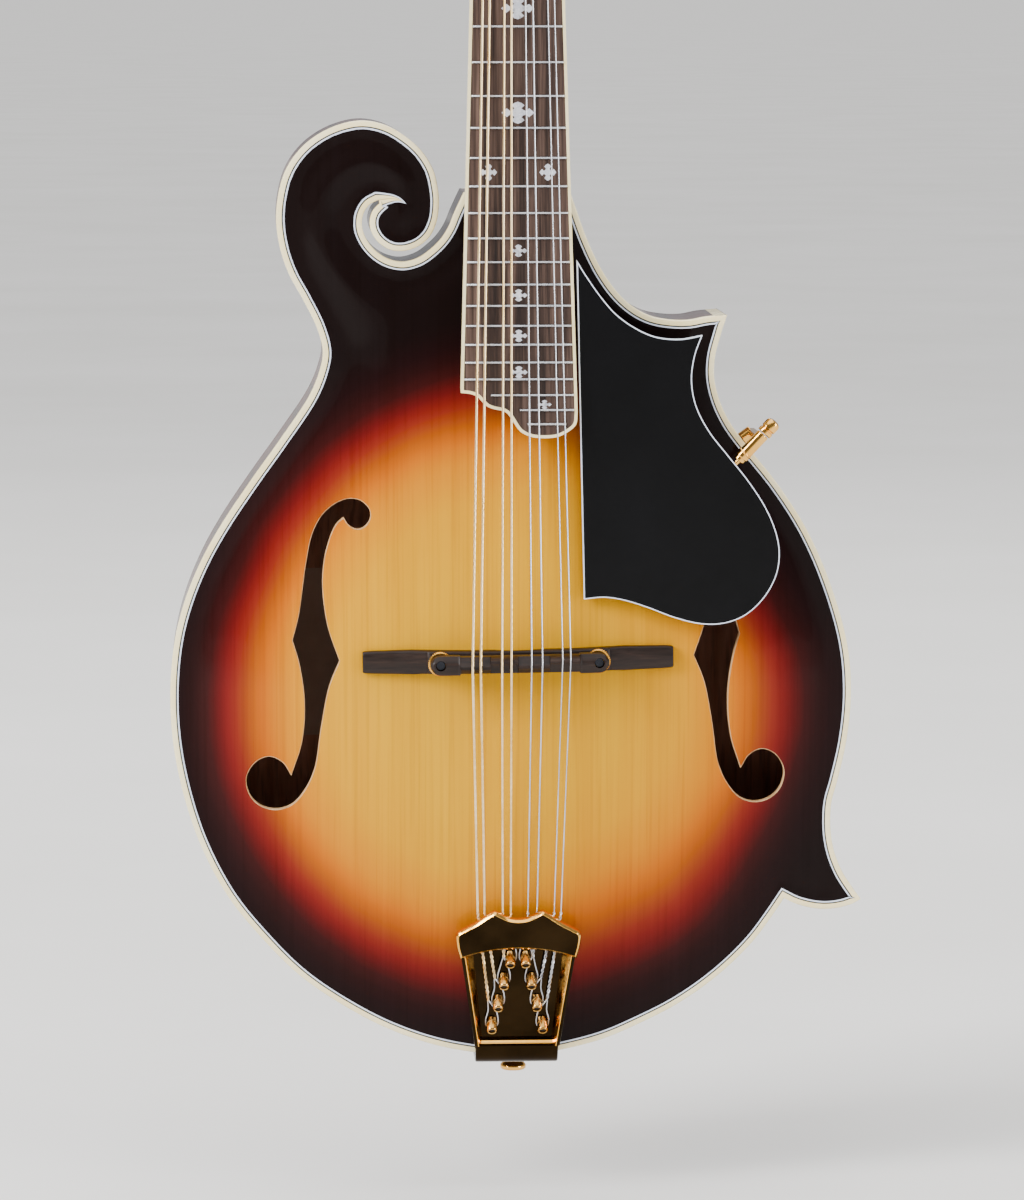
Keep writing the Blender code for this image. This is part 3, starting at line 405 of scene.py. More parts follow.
class Look:
    """One material, put together from nodes."""

    def __init__(self, name, metallic=0.0, coat=0.0, coat_roughness=0.04, shine=0.5):
        self.material = bpy.data.materials.new(name)
        self.material.use_nodes = True
        self.tree = self.material.node_tree
        self.shader = self.tree.nodes["Principled BSDF"]
        for key, value in (
            ("Metallic", metallic), ("Specular IOR Level", shine),
            ("Coat Weight", coat), ("Coat Roughness", coat_roughness),
        ):
            self.shader.inputs[key].default_value = value
        self.place = self.add("TexCoord").outputs["Object"]

    def add(self, kind, inputs=None, **settings):
        """A node, with sockets linked or values set on its inputs."""
        node = self.tree.nodes.new("ShaderNode" + kind)
        for key, value in settings.items():
            setattr(node, key, value)
        for key, value in (inputs or {}).items():
            if isinstance(value, bpy.types.NodeSocket):
                self.tree.links.new(value, node.inputs[key])
            else:
                node.inputs[key].default_value = value
        return node

    def spread(self, scale):
        """The place in the object, in features per metre along x, y and z."""
        inputs = {"Vector": self.place, "Scale": scale}
        return self.add("Mapping", inputs).outputs["Vector"]

    def noise(self, scale, detail=3.0, rough=0.55, warp=0.0):
        inputs = {
            "Vector": self.spread(scale), "Scale": 1.0, "Detail": detail, "Roughness": rough,
            "Distortion": warp,
        }
        return self.add("TexNoise", inputs).outputs["Fac"]

    def ramp(self, value, stops):
        """Colours along a value, from (position, sRGB colour) stops."""
        ramp = self.add("ValToRGB", {"Fac": value})
        bands = ramp.color_ramp.elements
        while len(bands) < len(stops):
            bands.new(0.5)
        for band, (at, code) in zip(bands, stops):
            band.position = at
            band.color = tint(code)
        return ramp.outputs["Color"]

    def multiply(self, share, first, second):
        inputs = {0: share, 6: first, 7: second}
        return self.add("Mix", inputs, data_type="RGBA", blend_type="MULTIPLY").outputs[2]

    def colour(self, socket):
        self.tree.links.new(socket, self.shader.inputs["Base Color"])

    def gloss(self, value, low, high):
        """Roughness between two values, as a noise goes from 0.3 to 0.7."""
        inputs = {"Value": value, "From Min": 0.3, "From Max": 0.7, "To Min": low, "To Max": high}
        result = self.add("MapRange", inputs).outputs["Result"]
        self.tree.links.new(result, self.shader.inputs["Roughness"])

    def relief(self, value, depth_mm, strength=1.0):
        inputs = {"Height": value, "Distance": depth_mm * 0.001, "Strength": strength}
        bump = self.add("Bump", inputs)
        self.tree.links.new(bump.outputs["Normal"], self.shader.inputs["Normal"])


def plain(name, first, second, scale, rough=(0.25, 0.4), depth=0.02, **settings):
    """A finish that wanders between two colours, with uneven gloss and a fine surface."""
    look = Look(name, **settings)
    wide = look.noise(scale, 4.0)
    fine = look.noise(tuple(s * 6 for s in scale), 3.0)
    look.colour(look.ramp(wide, [(0.3, first), (0.7, second)]))
    look.gloss(fine, *rough)
    look.relief(fine, depth)
    return look.material


def spruce():
    """The top's sunburst over fine straight grain."""
    look = Look("spruce_sunburst", coat=0.12, coat_roughness=0.06, shine=0.02)
    shade = look.add("Attribute", attribute_name="burst").outputs["Fac"]
    base = look.ramp(shade, [
        (0.0, "130B0B"), (0.14, "1B0B0C"), (0.22, "240D0D"), (0.3, "331010"),
        (0.34, "471111"), (0.38, "5B1313"), (0.42, "6F1A17"), (0.46, "7E2719"),
        (0.5, "8C3B17"), (0.54, "9C4C0C"), (0.58, "B05904"), (0.62, "BF6700"),
        (0.7, "CA7F00"), (0.82, "D19400"), (1.0, "D59D00"),
    ])
    grain = look.noise((760, 60, 9), 3.0, 0.6, 0.4)
    wide = look.noise((70, 30, 2.5), 2.0)
    lines = look.ramp(grain, [(0.3, "EADFD0"), (0.5, "FBF8F2"), (0.72, "FFFFFF")])
    broad = look.ramp(wide, [(0.3, "F0E6DA"), (0.65, "FFFFFF")])
    base = look.multiply(0.85, base, lines)
    look.colour(look.multiply(0.8, base, broad))
    look.gloss(look.noise((90, 90, 40)), 0.32, 0.46)
    look.relief(grain, 0.02, 0.4)
    return look.material


def maple(name, stripes, stops, use_burst=False):
    """Figured maple: bands of light and dark across the grain, under lacquer."""
    look = Look(name, coat=0.5, coat_roughness=0.06, shine=0.1)
    flame = look.noise(stripes, 2.0, 0.5, 0.6)
    grain = look.noise((420, 420, 12), 3.0)
    if use_burst:
        shade = look.add("Attribute", attribute_name="burst").outputs["Fac"]
        base = look.ramp(shade, stops)
    else:
        base = look.ramp(look.noise((14, 14, 8), 2.0), stops)
    bands = look.ramp(flame, [(0.32, "8E7A6C"), (0.5, "F2EDE6"), (0.68, "FFFFFF")])
    fibres = look.ramp(grain, [(0.3, "D8CCC0"), (0.6, "FFFFFF")])
    base = look.multiply(0.9, base, bands)
    look.colour(look.multiply(0.7, base, fibres))
    look.gloss(grain, 0.34, 0.46)
    look.relief(flame, 0.03, 0.3)
    return look.material


def streaked(name, stops, stripes, rough, depth, coat=0.0, shine=0.25):
    """Open-grained wood: streaks of several colours with fine pores."""
    look = Look(name, coat=coat, shine=shine)
    grain = look.noise(stripes, 5.0, 0.62, 0.5)
    pores = look.noise(tuple(s * 4 for s in stripes), 2.0)
    dark_pores = look.ramp(pores, [(0.35, "6A605A"), (0.5, "FFFFFF")])
    look.colour(look.multiply(0.35, look.ramp(grain, stops), dark_pores))
    look.gloss(pores, *rough)
    look.relief(pores, depth)
    return look.material


def pearly(name, coat, scale, warp, stops, rough):
    """Swirled pearl, real or moulded."""
    look = Look(name, coat=coat)
    swirl = look.noise((scale, scale, scale), 3.0, 0.5, warp)
    look.colour(look.ramp(swirl, stops))
    look.gloss(swirl, *rough)
    look.relief(swirl, 0.02)
    return look.material


def plated(name, first, second, rough=(0.08, 0.2)):
    """Plated metal, a little clouded and rubbed."""
    look = Look(name, metallic=1.0)
    cloud = look.noise((60, 60, 60), 4.0)
    rub = look.noise((700, 700, 160), 3.0)
    look.colour(look.ramp(cloud, [(0.3, first), (0.7, second)]))
    look.gloss(rub, *rough)
    look.relief(rub, 0.004, 0.5)
    return look.material


def wire(name, first, second, pitch_mm, rough):
    """String metal. The wound ones show the turns of their wrapping."""
    look = Look(name, metallic=0.85)
    cloud = look.noise((300, 300, 40), 3.0)
    look.colour(look.ramp(cloud, [(0.3, first), (0.7, second)]))
    look.gloss(cloud, *rough)
    inputs = {"Vector": look.spread((0, 0, 1000 / pitch_mm)), "Scale": 0.05, "Distortion": 0.0}
    turns = look.add("TexWave", inputs, bands_direction="Z")
    look.relief(turns.outputs["Fac"], 0.12, 0.7)
    return look.material


SPRUCE = spruce()
BACK_MAPLE = maple("maple_back_burst", (26, 8, 190), [
    (0.0, "1B0B0A"), (0.25, "25100C"), (0.36, "3E150D"), (0.5, "6E2A12"), (0.66, "9A4E1C"),
    (0.85, "B56F2A"), (1.0, "C07C30"),
], True)
RIB_MAPLE = maple("maple_rib", (210, 5, 210), [(0.3, "3A120C"), (0.7, "521A10")])
NECK_MAPLE = maple("maple_neck", (12, 12, 190), [(0.3, "34110C"), (0.7, "4C190F")])
SOFTWOOD_ROUGH = (0.6, 0.75)
BARE_WOOD = streaked(
    "bare_wood", [(0.3, "B98F5E"), (0.7, "D6B184")], (200, 200, 14), SOFTWOOD_ROUGH, 0.03,
)
INSIDE_WOOD = streaked(
    "inside_wood", [(0.3, "8A5238"), (0.7, "B0755A")], (160, 160, 12), SOFTWOOD_ROUGH, 0.03,
)
PAPER = plain("paper", "95705A", "A8836B", (60, 60, 60), (0.7, 0.8), 0.01)
CREAM = plain("cream_binding", "FBE6A6", "FFF3C6", (40, 40, 40), (0.2, 0.32), 0.01, coat=0.3)
BLACK_LINE = plain("black_line", "100E0A", "1A1712", (80, 80, 80), (0.3, 0.45))
WHITE_LINE = plain("white_line", "D3DBEE", "E6ECF8", (60, 60, 60), (0.25, 0.4), 0.01)
ROSEWOOD = streaked("rosewood", [
    (0.3, "1C1412"), (0.42, "352721"), (0.55, "4D3B33"), (0.72, "6B564C"),
], (520, 90, 11), (0.42, 0.6), 0.05)
EBONY = streaked(
    "ebony", [(0.3, "0E0C0B"), (0.7, "1F1A18")], (400, 90, 12), (0.25, 0.4), 0.02, 0.4,
)
BRIDGE_WOOD = streaked("bridge_wood", [
    (0.3, "150D0A"), (0.55, "241813"), (0.75, "372821"),
], (18, 300, 500), (0.35, 0.5), 0.03)
GUARD = plain("guard_black", "060607", "0A0A0C", (30, 30, 30), (0.12, 0.22), 0.004, shine=0.12)
BONE = plain("bone", "E4DCC4", "F1ECDC", (120, 120, 120), (0.3, 0.45))
PEARL = pearly("pearl", 0.6, 260, 1.6, [
    (0.3, "A9ABB4"), (0.45, "D9DAE0"), (0.55, "C4C6D2"), (0.7, "EDEBEC"),
], (0.15, 0.35))
PEARLOID = pearly("pearloid", 0.5, 150, 2.2, [
    (0.3, "B3A88E"), (0.5, "DAD1BA"), (0.7, "EEE7D6"),
], (0.15, 0.3))
GOLD = plated("gold_plate", "E6A23C", "F8C266")
# A duller gold plate: painted dim reflection, used on the loop hooks.
GOLD_PAINTED_DIM_REFLECTION = plated("gold_painted_dim_reflection", "A67838", "D9AC64", (0.12, 0.24))
# Gold plate painted near black: a painted dark reflection of the room, used on the tailpiece's
# floor, bend, rail tops and crown face.
GOLD_PAINTED_DARK_REFLECTION = plated("gold_painted_dark_reflection", "1B1309", "2C2011", (0.08, 0.18))
BRASS = plated("brass", "B98A3C", "CFA04E", (0.25, 0.4))
STEEL = plated("steel", "8E8F93", "B4B6BA", (0.25, 0.4))
# Steel darkened as painted shade, for the bridge posts seen down their bores in the saddle.
STEEL_PAINTED_SHADE = plated("steel_painted_shade", "26272B", "3C3E44", (0.2, 0.35))
NICKEL = plated("nickel_silver", "C9CCD2", "E4E6EA", (0.2, 0.35))
PLAIN_WIRE = wire("plain_wire", "A9ABB2", "D6D8DD", 9.0, (0.2, 0.35))
WOUND_WIRE = wire("wound_wire", "DDB97C", "F6DFB4", 0.42, (0.25, 0.4))
# Near black for the inside of the hook tips: painted shade in their hollows.
HOOK_HOLLOW_SHADE = plain("painted_hollow_shade", "141210", "1E1B18", (200, 200, 200), (0.6, 0.8), 0.05)


# ---------------------------------------------------------------- shapes


class Shape:
    """Corners and faces of a piece while it's put together.

    A local one is written in the frame of the piece that it's cut from.
    """

    def __init__(self, local=False):
        self.verts = []
        self.faces = []
        self.local = local

    def add(self, verts, faces, where=None):
        start = len(self.verts)
        verts = [Vector(v) for v in verts]
        if where is not None:
            verts = [where @ v for v in verts]
        self.verts += verts
        self.faces += [[start + i for i in face] for face in faces]
        return self


def solid(shape, where):
    """A clean closed mesh in the row's frame."""
    mesh = bpy.data.meshes.new("shape")
    mesh.from_pydata([tuple(v) for v in shape.verts], [], shape.faces)
    mesh.transform(STAND @ where)
    work = bmesh.new()
    work.from_mesh(mesh)
    bmesh.ops.remove_doubles(work, verts=work.verts, dist=1e-6)
    bmesh.ops.dissolve_degenerate(work, edges=work.edges, dist=1e-6)
    bmesh.ops.recalc_face_normals(work, faces=work.faces)
    work.to_mesh(mesh)
    work.free()
    return mesh


def piece(name, shape, look, where=BENCH, body="instrument", stands_for=(),
          bevel=0.0, level=0, sharp=35.0, joins=(), cuts=(), shaded=False):
    """Makes the piece, stands it up, and lets it ride on its body."""
    obj = bpy.data.objects.new(name, solid(shape, where))
    bpy.context.scene.collection.objects.link(obj)
    for operation, others in (("UNION", joins), ("DIFFERENCE", cuts)):
        for other in others:
            tool = bpy.data.objects.new("tool", solid(other, where if other.local else BENCH))
            bpy.context.scene.collection.objects.link(tool)
            change = obj.modifiers.new("change", "BOOLEAN")
            change.solver = "EXACT"
            change.use_self = True
            change.operation = operation
            change.object = tool
            graph = bpy.context.evaluated_depsgraph_get()
            obj.data = bpy.data.meshes.new_from_object(obj.evaluated_get(graph))
            obj.modifiers.clear()
            bpy.data.objects.remove(tool)
    mesh = obj.data
    mesh.name = name
    if shaded:
        spots = np.array([(v.co.x, v.co.z) for v in mesh.vertices]) * 1000
        values = mesh.attributes.new("burst", "FLOAT", "POINT")
        values.data.foreach_set("value", sample(BURST, spots).astype(np.float32))
    mesh.materials.clear()
    mesh.materials.append(look)
    if bevel:
        edge = obj.modifiers.new("Rounded edges", "BEVEL")
        edge.width = bevel * 0.001
        edge.segments = 3
        edge.limit_method = "ANGLE"
        edge.angle_limit = math.radians(35)
    if level:
        soft = obj.modifiers.new("Smooth", "SUBSURF")
        soft.levels = level
        soft.render_levels = level
    mesh.shade_smooth()
    if not level:
        mesh.set_sharp_from_angle(angle=math.radians(sharp))
    if stands_for:
        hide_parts(*stands_for)
    if body:
        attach(obj, body)
    return obj


def circle(radius, sides, start=0.0):
    """(x, y) points round a circle."""
    turns = [2 * math.pi * (k + start) / sides for k in range(sides)]
    return [(radius * math.cos(turn), radius * math.sin(turn)) for turn in turns]


def loft(rows, shape=None, where=None):
    """Rings of as many points, one after another, closed at both ends."""
    size, last = len(rows[0]), len(rows) - 1
    faces = walls(last, size, len(rows))
    faces += [tuple(range(size))[::-1], tuple(range(last * size, (last + 1) * size))]
    return (shape or Shape()).add([v for row in rows for v in row], faces, where)


def hoop(rows, shape=None, where=None):
    """Rings of as many points, the last of which joins the first."""
    faces = walls(len(rows), len(rows[0]), len(rows))
    return (shape or Shape()).add([v for row in rows for v in row], faces, where)


def walls(count, size, rows):
    """The faces between each ring and the next, for a count of rings."""
    return [
        (i * size + k, i * size + (k + 1) % size,
         (i + 1) % rows * size + (k + 1) % size, (i + 1) % rows * size + k)
        for i in range(count) for k in range(size)
    ]


def level_line(line, height):
    """A flat line of points at a height."""
    return np.c_[line, np.full(len(line), height)]


def sweep_edge(profile, first=0, last=LAST):
    """A closed profile of (width, height) carried along the body's edge."""
    rings = [level_line(ring(width), height)[first : last + 1] for width, height in profile]
    return loft(list(zip(*rings)))


def slab(outline, bottom, top, shape=None, where=None):
    """A flat outline between two heights."""
    rows = [[(x, y, z) for x, y in outline] for z in (bottom, top)]
    return loft(rows, shape, where)


def band(outer, inner, bottom, top, closed=True):
    """A strip between two outlines of as many points."""
    rows = [
        level_line(line, z)
        for line, z in ((outer, bottom), (outer, top), (inner, top), (inner, bottom))
    ]
    return hoop(rows) if closed else loft(list(zip(*rows)))


def rimmed(outline, profile):
    """A closed profile of (distance inside the outline, height) carried round the outline."""
    return hoop([level_line(inset(outline, distance), z) for distance, z in profile])


def lathe(profile, shape=None, where=None, sides=32, closed=False):
    """(radius, height) points turned round z. A radius of 0 closes the end."""
    rows = [[(x, y, height) for x, y in circle(radius, sides)] for radius, height in profile]
    return (hoop if closed else loft)(rows, shape, where)


def along(start, end):
    """The place and turn that carry z onto the line from start to end."""
    start, end = Vector(start), Vector(end)
    turn = (end - start).to_track_quat("Z", "Y").to_matrix().to_4x4()
    return Matrix.Translation(start) @ turn


def rod(start, end, radius, shape=None, where=None, sides=20):
    """A round bar with softened ends."""
    length = (Vector(end) - Vector(start)).length
    cut = min(0.25, radius * 0.4, length * 0.3)
    profile = [
        (0, 0), (radius - cut, 0), (radius, cut), (radius, length - cut), (radius - cut, length),
        (0, length),
    ]
    turn = along(start, end)
    return lathe(profile, shape, where @ turn if where is not None else turn, sides)


def box(low, high, shape=None, where=None):
    """A box between two corners."""
    outline = [(low[0], low[1]), (high[0], low[1]), (high[0], high[1]), (low[0], high[1])]
    return slab(outline, low[2], high[2], shape, where)


def tube(path, radius, shape=None, sides=10):
    """A round tube along a path."""
    path = [Vector(p) for p in path]
    rows = []
    side = None
    for i, spot in enumerate(path):
        ahead = (path[min(i + 1, len(path) - 1)] - path[max(i - 1, 0)]).normalized()
        if side is None:
            side = ahead.orthogonal().normalized()
        side = (side - ahead * side.dot(ahead)).normalized()
        other = ahead.cross(side)
        rows.append([spot + side * x + other * y for x, y in circle(radius, sides)])
    return loft(rows, shape)


def triangulate(outline, holes, spacing):
    """Triangles that fill an outline round its holes, with points spread over the inside."""
    loops = [np.asarray(outline, float)] + [np.asarray(h, float) for h in holes]
    low, high = loops[0].min(0), loops[0].max(0)
    rows = np.arange(low[1], high[1], spacing * 0.866)
    spread = []
    for k, y in enumerate(rows):
        xs = np.arange(low[0] + (k % 2) * spacing / 2, high[0], spacing)
        spread.append(np.c_[xs, np.full(len(xs), y)])
    spots = np.concatenate(spread)
    spots = spots[inside(spots, loops[0])]
    for hole in loops[1:]:
        spots = spots[~inside(spots, hole)]
    for loop in loops:
        spots = spots[segment_distance(spots, loop) > spacing * 0.55]
    points, edges = [], []
    for loop in loops:
        start = len(points)
        points += [Vector(p) for p in loop]
        edges += [(start + i, start + (i + 1) % len(loop)) for i in range(len(loop))]
    points += [Vector(p) for p in spots]
    verts, _, faces, *_ = delaunay_2d_cdt(points, edges, [], 0, 1e-4)
    verts = np.array([tuple(v) for v in verts])
    faces = np.array([f for f in faces if len(f) == 3])
    middles = verts[faces].mean(1)
    good = inside(middles, loops[0])
    for hole in loops[1:]:
        good &= ~inside(middles, hole)
    return verts, faces[good]


def plate(outline, holes, heights, thickness, spacing=3.0):
    """A carved plate: its outer face, an inner face a thickness below it, and its walls."""
    flat, faces = triangulate(outline, holes, spacing)
    upper = heights(flat)
    lower = upper - thickness
    count = len(flat)
    verts = np.concatenate([np.c_[flat, upper], np.c_[flat, lower]])
    sides = {(face[k - 1], face[k]): None for face in faces for k in range(3)}
    rim = [(b, a, a + count, b + count) for a, b in sides if (b, a) not in sides]
    skins = [tuple(f) for f in faces] + [tuple(f[::-1] + count) for f in faces]
    return Shape().add(verts, skins + rim)


# ---------------------------------------------------------------- the body

# Cross-sections are (distance inside the body's edge, height).
RIB = [(0.12, -39.8), (0.12, -4.02), (2.1, -4.02), (2.1, -39.8)]
for name, first, last, node in (
    ("bass_side", 0, TAIL_AT, "bass_rib"),
    ("treble_lower_side", TAIL_AT, LOWER_TIP, "treble_lower_rib"),
    ("treble_waist_side", LOWER_TIP, UPPER_TIP, "treble_waist_rib"),
    ("treble_upper_side", UPPER_TIP, LAST, "treble_upper_rib"),
):
    piece(name, sweep_edge(RIB, first, last), RIB_MAPLE, stands_for=[node])

for name, profile, look, nodes in (
    ("cream_top_edge", [(0, -4), (0, -0.6), (0.2, -0.2), (0.6, 0), (2.1, 0), (2.1, -4)],
     CREAM, ["top_binding"]),
    ("dark_purfling", [(2.05, -1.4), (2.05, 0.02), (2.6, 0.02), (2.6, -1.4)], BLACK_LINE, []),
    ("white_purfling", [(2.55, -1.4), (2.55, 0.03), (3.2, 0.03), (3.2, -1.4)], WHITE_LINE, []),
    ("cream_back_edge", [(0.9, -40), (2.3, -40), (2.3, -44), (0.9, -44)],
     CREAM, ["back_binding"]),
):
    piece(name, sweep_edge(profile), look, stands_for=nodes)
BACK_SKIN = [(0.1, -39.7), (0.95, -39.7), (0.95, -43.98), (0.4, -43.98), (0.1, -43.6)]
piece("back_rim_skin", sweep_edge(BACK_SKIN), RIB_MAPLE)

for name, tip in (("lower_point_cap", LOWER_TIP), ("upper_point_cap", UPPER_TIP)):
    around = EDGE[tip - 3 : tip + 4]
    piece(name, slab(around, -43.6, 0.02), CREAM, bevel=0.3)


def bare_inside(obj, way):
    """Leaves the side of a plate that faces into the body without lacquer."""
    obj.data.materials.append(INSIDE_WOOD)
    for face in obj.data.polygons:
        face.material_index = int(face.normal.y * way > 0.3)


bass_hole = spline(BASS_F_HOLE, 1.0, True, F_HOLE_CORNERS)
F_HOLES = [bass_hole, bass_hole * (-1, 1) + (-0.5, 1.5)]
front = plate(ring(3.1), F_HOLES, lambda s: sample(TOP_FIELD, s), PLATE)
top_plate = piece(
    "carved_top", front, SPRUCE, stands_for=["top_plate"], sharp=60,
    shaded=True,
)
bare_inside(top_plate, 1)
for name, hole in zip(("bass_f_hole_edge", "treble_f_hole_edge"), F_HOLES):
    outer, inner = inset(hole, -0.15), inset(hole, 0.25)
    top = sample(TOP_FIELD, hole) - 0.12
    low = top - 3.9
    edge = hoop([np.c_[outer, top], np.c_[inner, top], np.c_[inner, low], np.c_[outer, low]])
    piece(name, edge, BARE_WOOD)

rear = plate(ring(2.25), [], lambda s: -BODY_DEPTH + PLATE - sample(BACK_FIELD, s), PLATE, 4.0)
back_plate = piece(
    "carved_back", rear, BACK_MAPLE, stands_for=["back_plate"], sharp=60,
    shaded=True,
)
bare_inside(back_plate, -1)
label_line = spline([(-97, -389), (-51, -389), (-51, -324), (-97, -324)], 4.0, True, range(4))
label = plate(label_line, [], lambda s: -39.8 - sample(BACK_FIELD, s), 0.2, 5.0)
piece("blank_label", label, PAPER)
HEEL_CAP = [(11, -178.6), (10, -171.5), (5.5, -168), (-5.5, -168), (-10, -171.5), (-11, -178.6)]
heel_cap = slab(spline(HEEL_CAP, 1.0), -44.0, -39.8)
piece("heel_cap", heel_cap, BACK_MAPLE, bevel=0.5, shaded=True)

# ---------------------------------------------------------------- the neck and headstock


def board_half_width(distance):
    """Half the fingerboard's width at a distance from the nut."""
    return (NUT_WIDTH + BOARD_TAPER * distance) / 2


def fret_distance(number):
    """How far a fret lies from the nut, by equal temperament."""
    return SCALE_LENGTH * (1 - 2 ** (-number / 12))


def neck_shaft():
    """The neck from the headstock down to the heel's foot, as one run of rings."""
    floor, full_depth = -39.6, 18.5
    depths = [(14, 13.0), (6, 14.6), (0, 15.0), (-50, 15.8), (-100, 16.8), (-138, 18.0)]
    heel = ((-150, 0.12), (-158, 0.3), (-165, 0.55), (-171, 0.82), (-175, 0.96), (-178.2, 1.0))

    def under_board(y):
        return 2 - 5 - 0.05 - BOARD_RISE * y

    depths += [(y, full_depth + (under_board(y) - floor - full_depth) * s) for y, s in heel]
    rows = []
    for y, depth in spline(depths, 3.0):
        top = under_board(y)
        share = float(np.clip((depth - 18.2) / (top - floor - full_depth), 0, 1))
        half = board_half_width(max(0.0, -y)) - 0.15
        fullness = 0.9 - 0.35 * share
        row = []
        for turn in np.arange(33) * math.pi / 32:
            x = half * math.copysign(abs(math.cos(turn)) ** fullness, math.cos(turn))
            down = depth * abs(math.sin(turn)) ** fullness
            row.append((x * (1 - 0.42 * share * math.sin(turn)), y, top - down))
        rows.append(row)
    return loft(rows)


def post_places():
    """Each string post's number, and where it stands on the headstock."""
    for number in range(1, 9):
        step = number - 1 if number <= 4 else 8 - number
        yield number, math.copysign(POST_ROW, number - 4.5), FIRST_POST + POST_PITCH * step


HEAD_LINE = spline(HEAD_SIDE, 1.5)
HOLES = Shape()
for number, x, y in post_places():
    rod((x, y, -30), (x, y, 20), 3.8, HOLES, HEAD, 24)
tongue = [(-15.5, -172), (15.5, -172), (17.9, -262), (-15, -250), (-17.3, -247)]
riser = slab(tongue, -8.5, -5.05, None, BOARD)
slab(HEAD_LINE, -13.0, 0.0, riser, HEAD)
ROD_POCKET = (-5.2, 1.5, -10), (5.2, 17.3, 10)
ROD_CHANNEL = (-2.7, -163, -12.5), (2.7, 12, 5)
FACE_POCKET = (-5.2, -2, -5), (5.2, 17.3, 9)
piece(
    "carved_neck", neck_shaft(), NECK_MAPLE, stands_for=["neck"], sharp=50,
    bevel=0.5, joins=[riser],
    cuts=[HOLES, box(*ROD_CHANNEL, None, BOARD), box(*ROD_POCKET, None, HEAD)],
)
piece(
    "headstock_face", slab(inset(HEAD_LINE, 0.4), 0.02, 2.3, None, HEAD), EBONY,
    stands_for=["headstock_overlay"], bevel=0.25,
    cuts=[HOLES, box(*FACE_POCKET, None, HEAD)],
)
COVER = [
    (-9, 1.5), (9, 1.5), (10.5, 8), (8.5, 18), (4.5, 26), (0, 30), (-4.5, 26), (-8.5, 18),
    (-10.5, 8),
]
cover_line = spline(COVER, 1.0, True, [0, 1, 5])
piece("rod_cover_plate", slab(cover_line, 2.35, 4.1), EBONY, HEAD,
      stands_for=["truss_rod_cover"], bevel=0.4)
cover_rim = band(inset(cover_line, -0.01), inset(cover_line, 0.7), 2.4, 4.02)
piece("rod_cover_rim", cover_rim, WHITE_LINE, HEAD)
screws = Shape()
for y in (4.5, 25.0):
    dome = [(0, 4.5), (0.9, 4.4), (1.4, 4.05), (1.4, 3.6), (0, 3.6)]
    lathe(dome, screws, Matrix.Translation((0, y, 0)), 20)
piece("rod_cover_screws", screws, BRASS, HEAD)

nut_shape = box((-14.65, 0.05, -3.0), (14.65, 4.8, 3.75))
slots = Shape()
for x, radius in zip(STRINGS_AT_NUT, STRING_RADII):
    rod((x, -3, 3.6 + radius), (x, 9, 3.5 + radius), radius + 0.12, slots, None, 12)
    box((x - radius - 0.1, -3, 3.6 + radius), (x + radius + 0.1, 9, 7), slots)
piece("bone_nut", nut_shape, BONE, stands_for=["nut"], bevel=0.35, cuts=[slots])

# ---------------------------------------------------------------- the fingerboard


def board_outline(margin):
    """The fingerboard's outline, from the nut's bass side round to its treble side."""
    tip = spline(BOARD_TIP, 1.0, False, [1])
    start = board_half_width(0)
    whole = np.vstack([[(-start, 0.0)], tip, [(start, 0.0)]])
    moved = inset(whole, margin)
    moved[0] = (-start + margin, 0.0)
    moved[-1] = (start - margin, 0.0)
    return moved


board = slab(board_outline(1.12), -5.0, 0.0)
piece("rosewood_board", board, ROSEWOOD, BOARD, stands_for=["fingerboard"])
piece(
    "board_edge_binding", band(board_outline(0.0), board_outline(1.1), -5.0, 0.04, False),
    CREAM, BOARD, stands_for=["fingerboard_binding"], bevel=0.15,
)
frets = Shape()
FRET_STARTS = {22: -10.5, 23: 0.2, 24: 3.0}
LAST_FRET_END = 17.6
FRET_HALF = [(0.465, -0.3), (0.465, 0.15), (0.375, 0.6), (0.1875, 0.9)]
fret_section = [(-a, b) for a, b in FRET_HALF] + [(0, 1.0)] + FRET_HALF[::-1]
for number in range(1, 25):
    y = -fret_distance(number)
    half = board_half_width(-y) - 1.2
    left = FRET_STARTS.get(number, -half)
    right = min(half, LAST_FRET_END) if number == 24 else half
    ends = (left, 0.5), (left + 0.5, 1.0), (right - 0.5, 1.0), (right, 0.5)
    rows = [[(x, y + a, b * cap if b > 0 else b) for a, b in fret_section] for x, cap in ends]
    loft(rows, frets)
piece("fret_wires", frets, NICKEL, BOARD, sharp=50)


def cross(x, y, width, height):
    """A cross of four barbed, pointed arms."""
    quarter = [
        (0.5, 0.0), (0.34, 0.2), (0.24, 0.08), (0.17, 0.12), (0.1, 0.2), (0.2, 0.34), (0.1, 0.45),
        (0.0, 0.5),
    ]
    points = quarter + [(-a, b) for a, b in quarter[-2::-1]]
    points += [(a, -b) for a, b in points[-2:0:-1]]
    return np.array(points) * (width, height) + (x, y)


inlays = Shape()
for (width, height), places in (
    ((12.2, 8.1), [(0, -110.5), (0, -149), (0, -71)]),
    ((6.6, 4.4), [(0, -37.5)]),
    ((6.3, 6.3), [(-11, -171), (11, -171)]),
    ((6.6, 4.6), [(0, -200), (0, -216.5), (0, -231.5), (0, -245)]),
    ((5.2, 3.4), [(9.5, -257)]),
):
    for x, y in places:
        slab(cross(x, y, width, height), -0.3, 0.03, inlays)
piece("pearl_inlays", inlays, PEARL, BOARD)

# ---------------------------------------------------------------- the pickguard

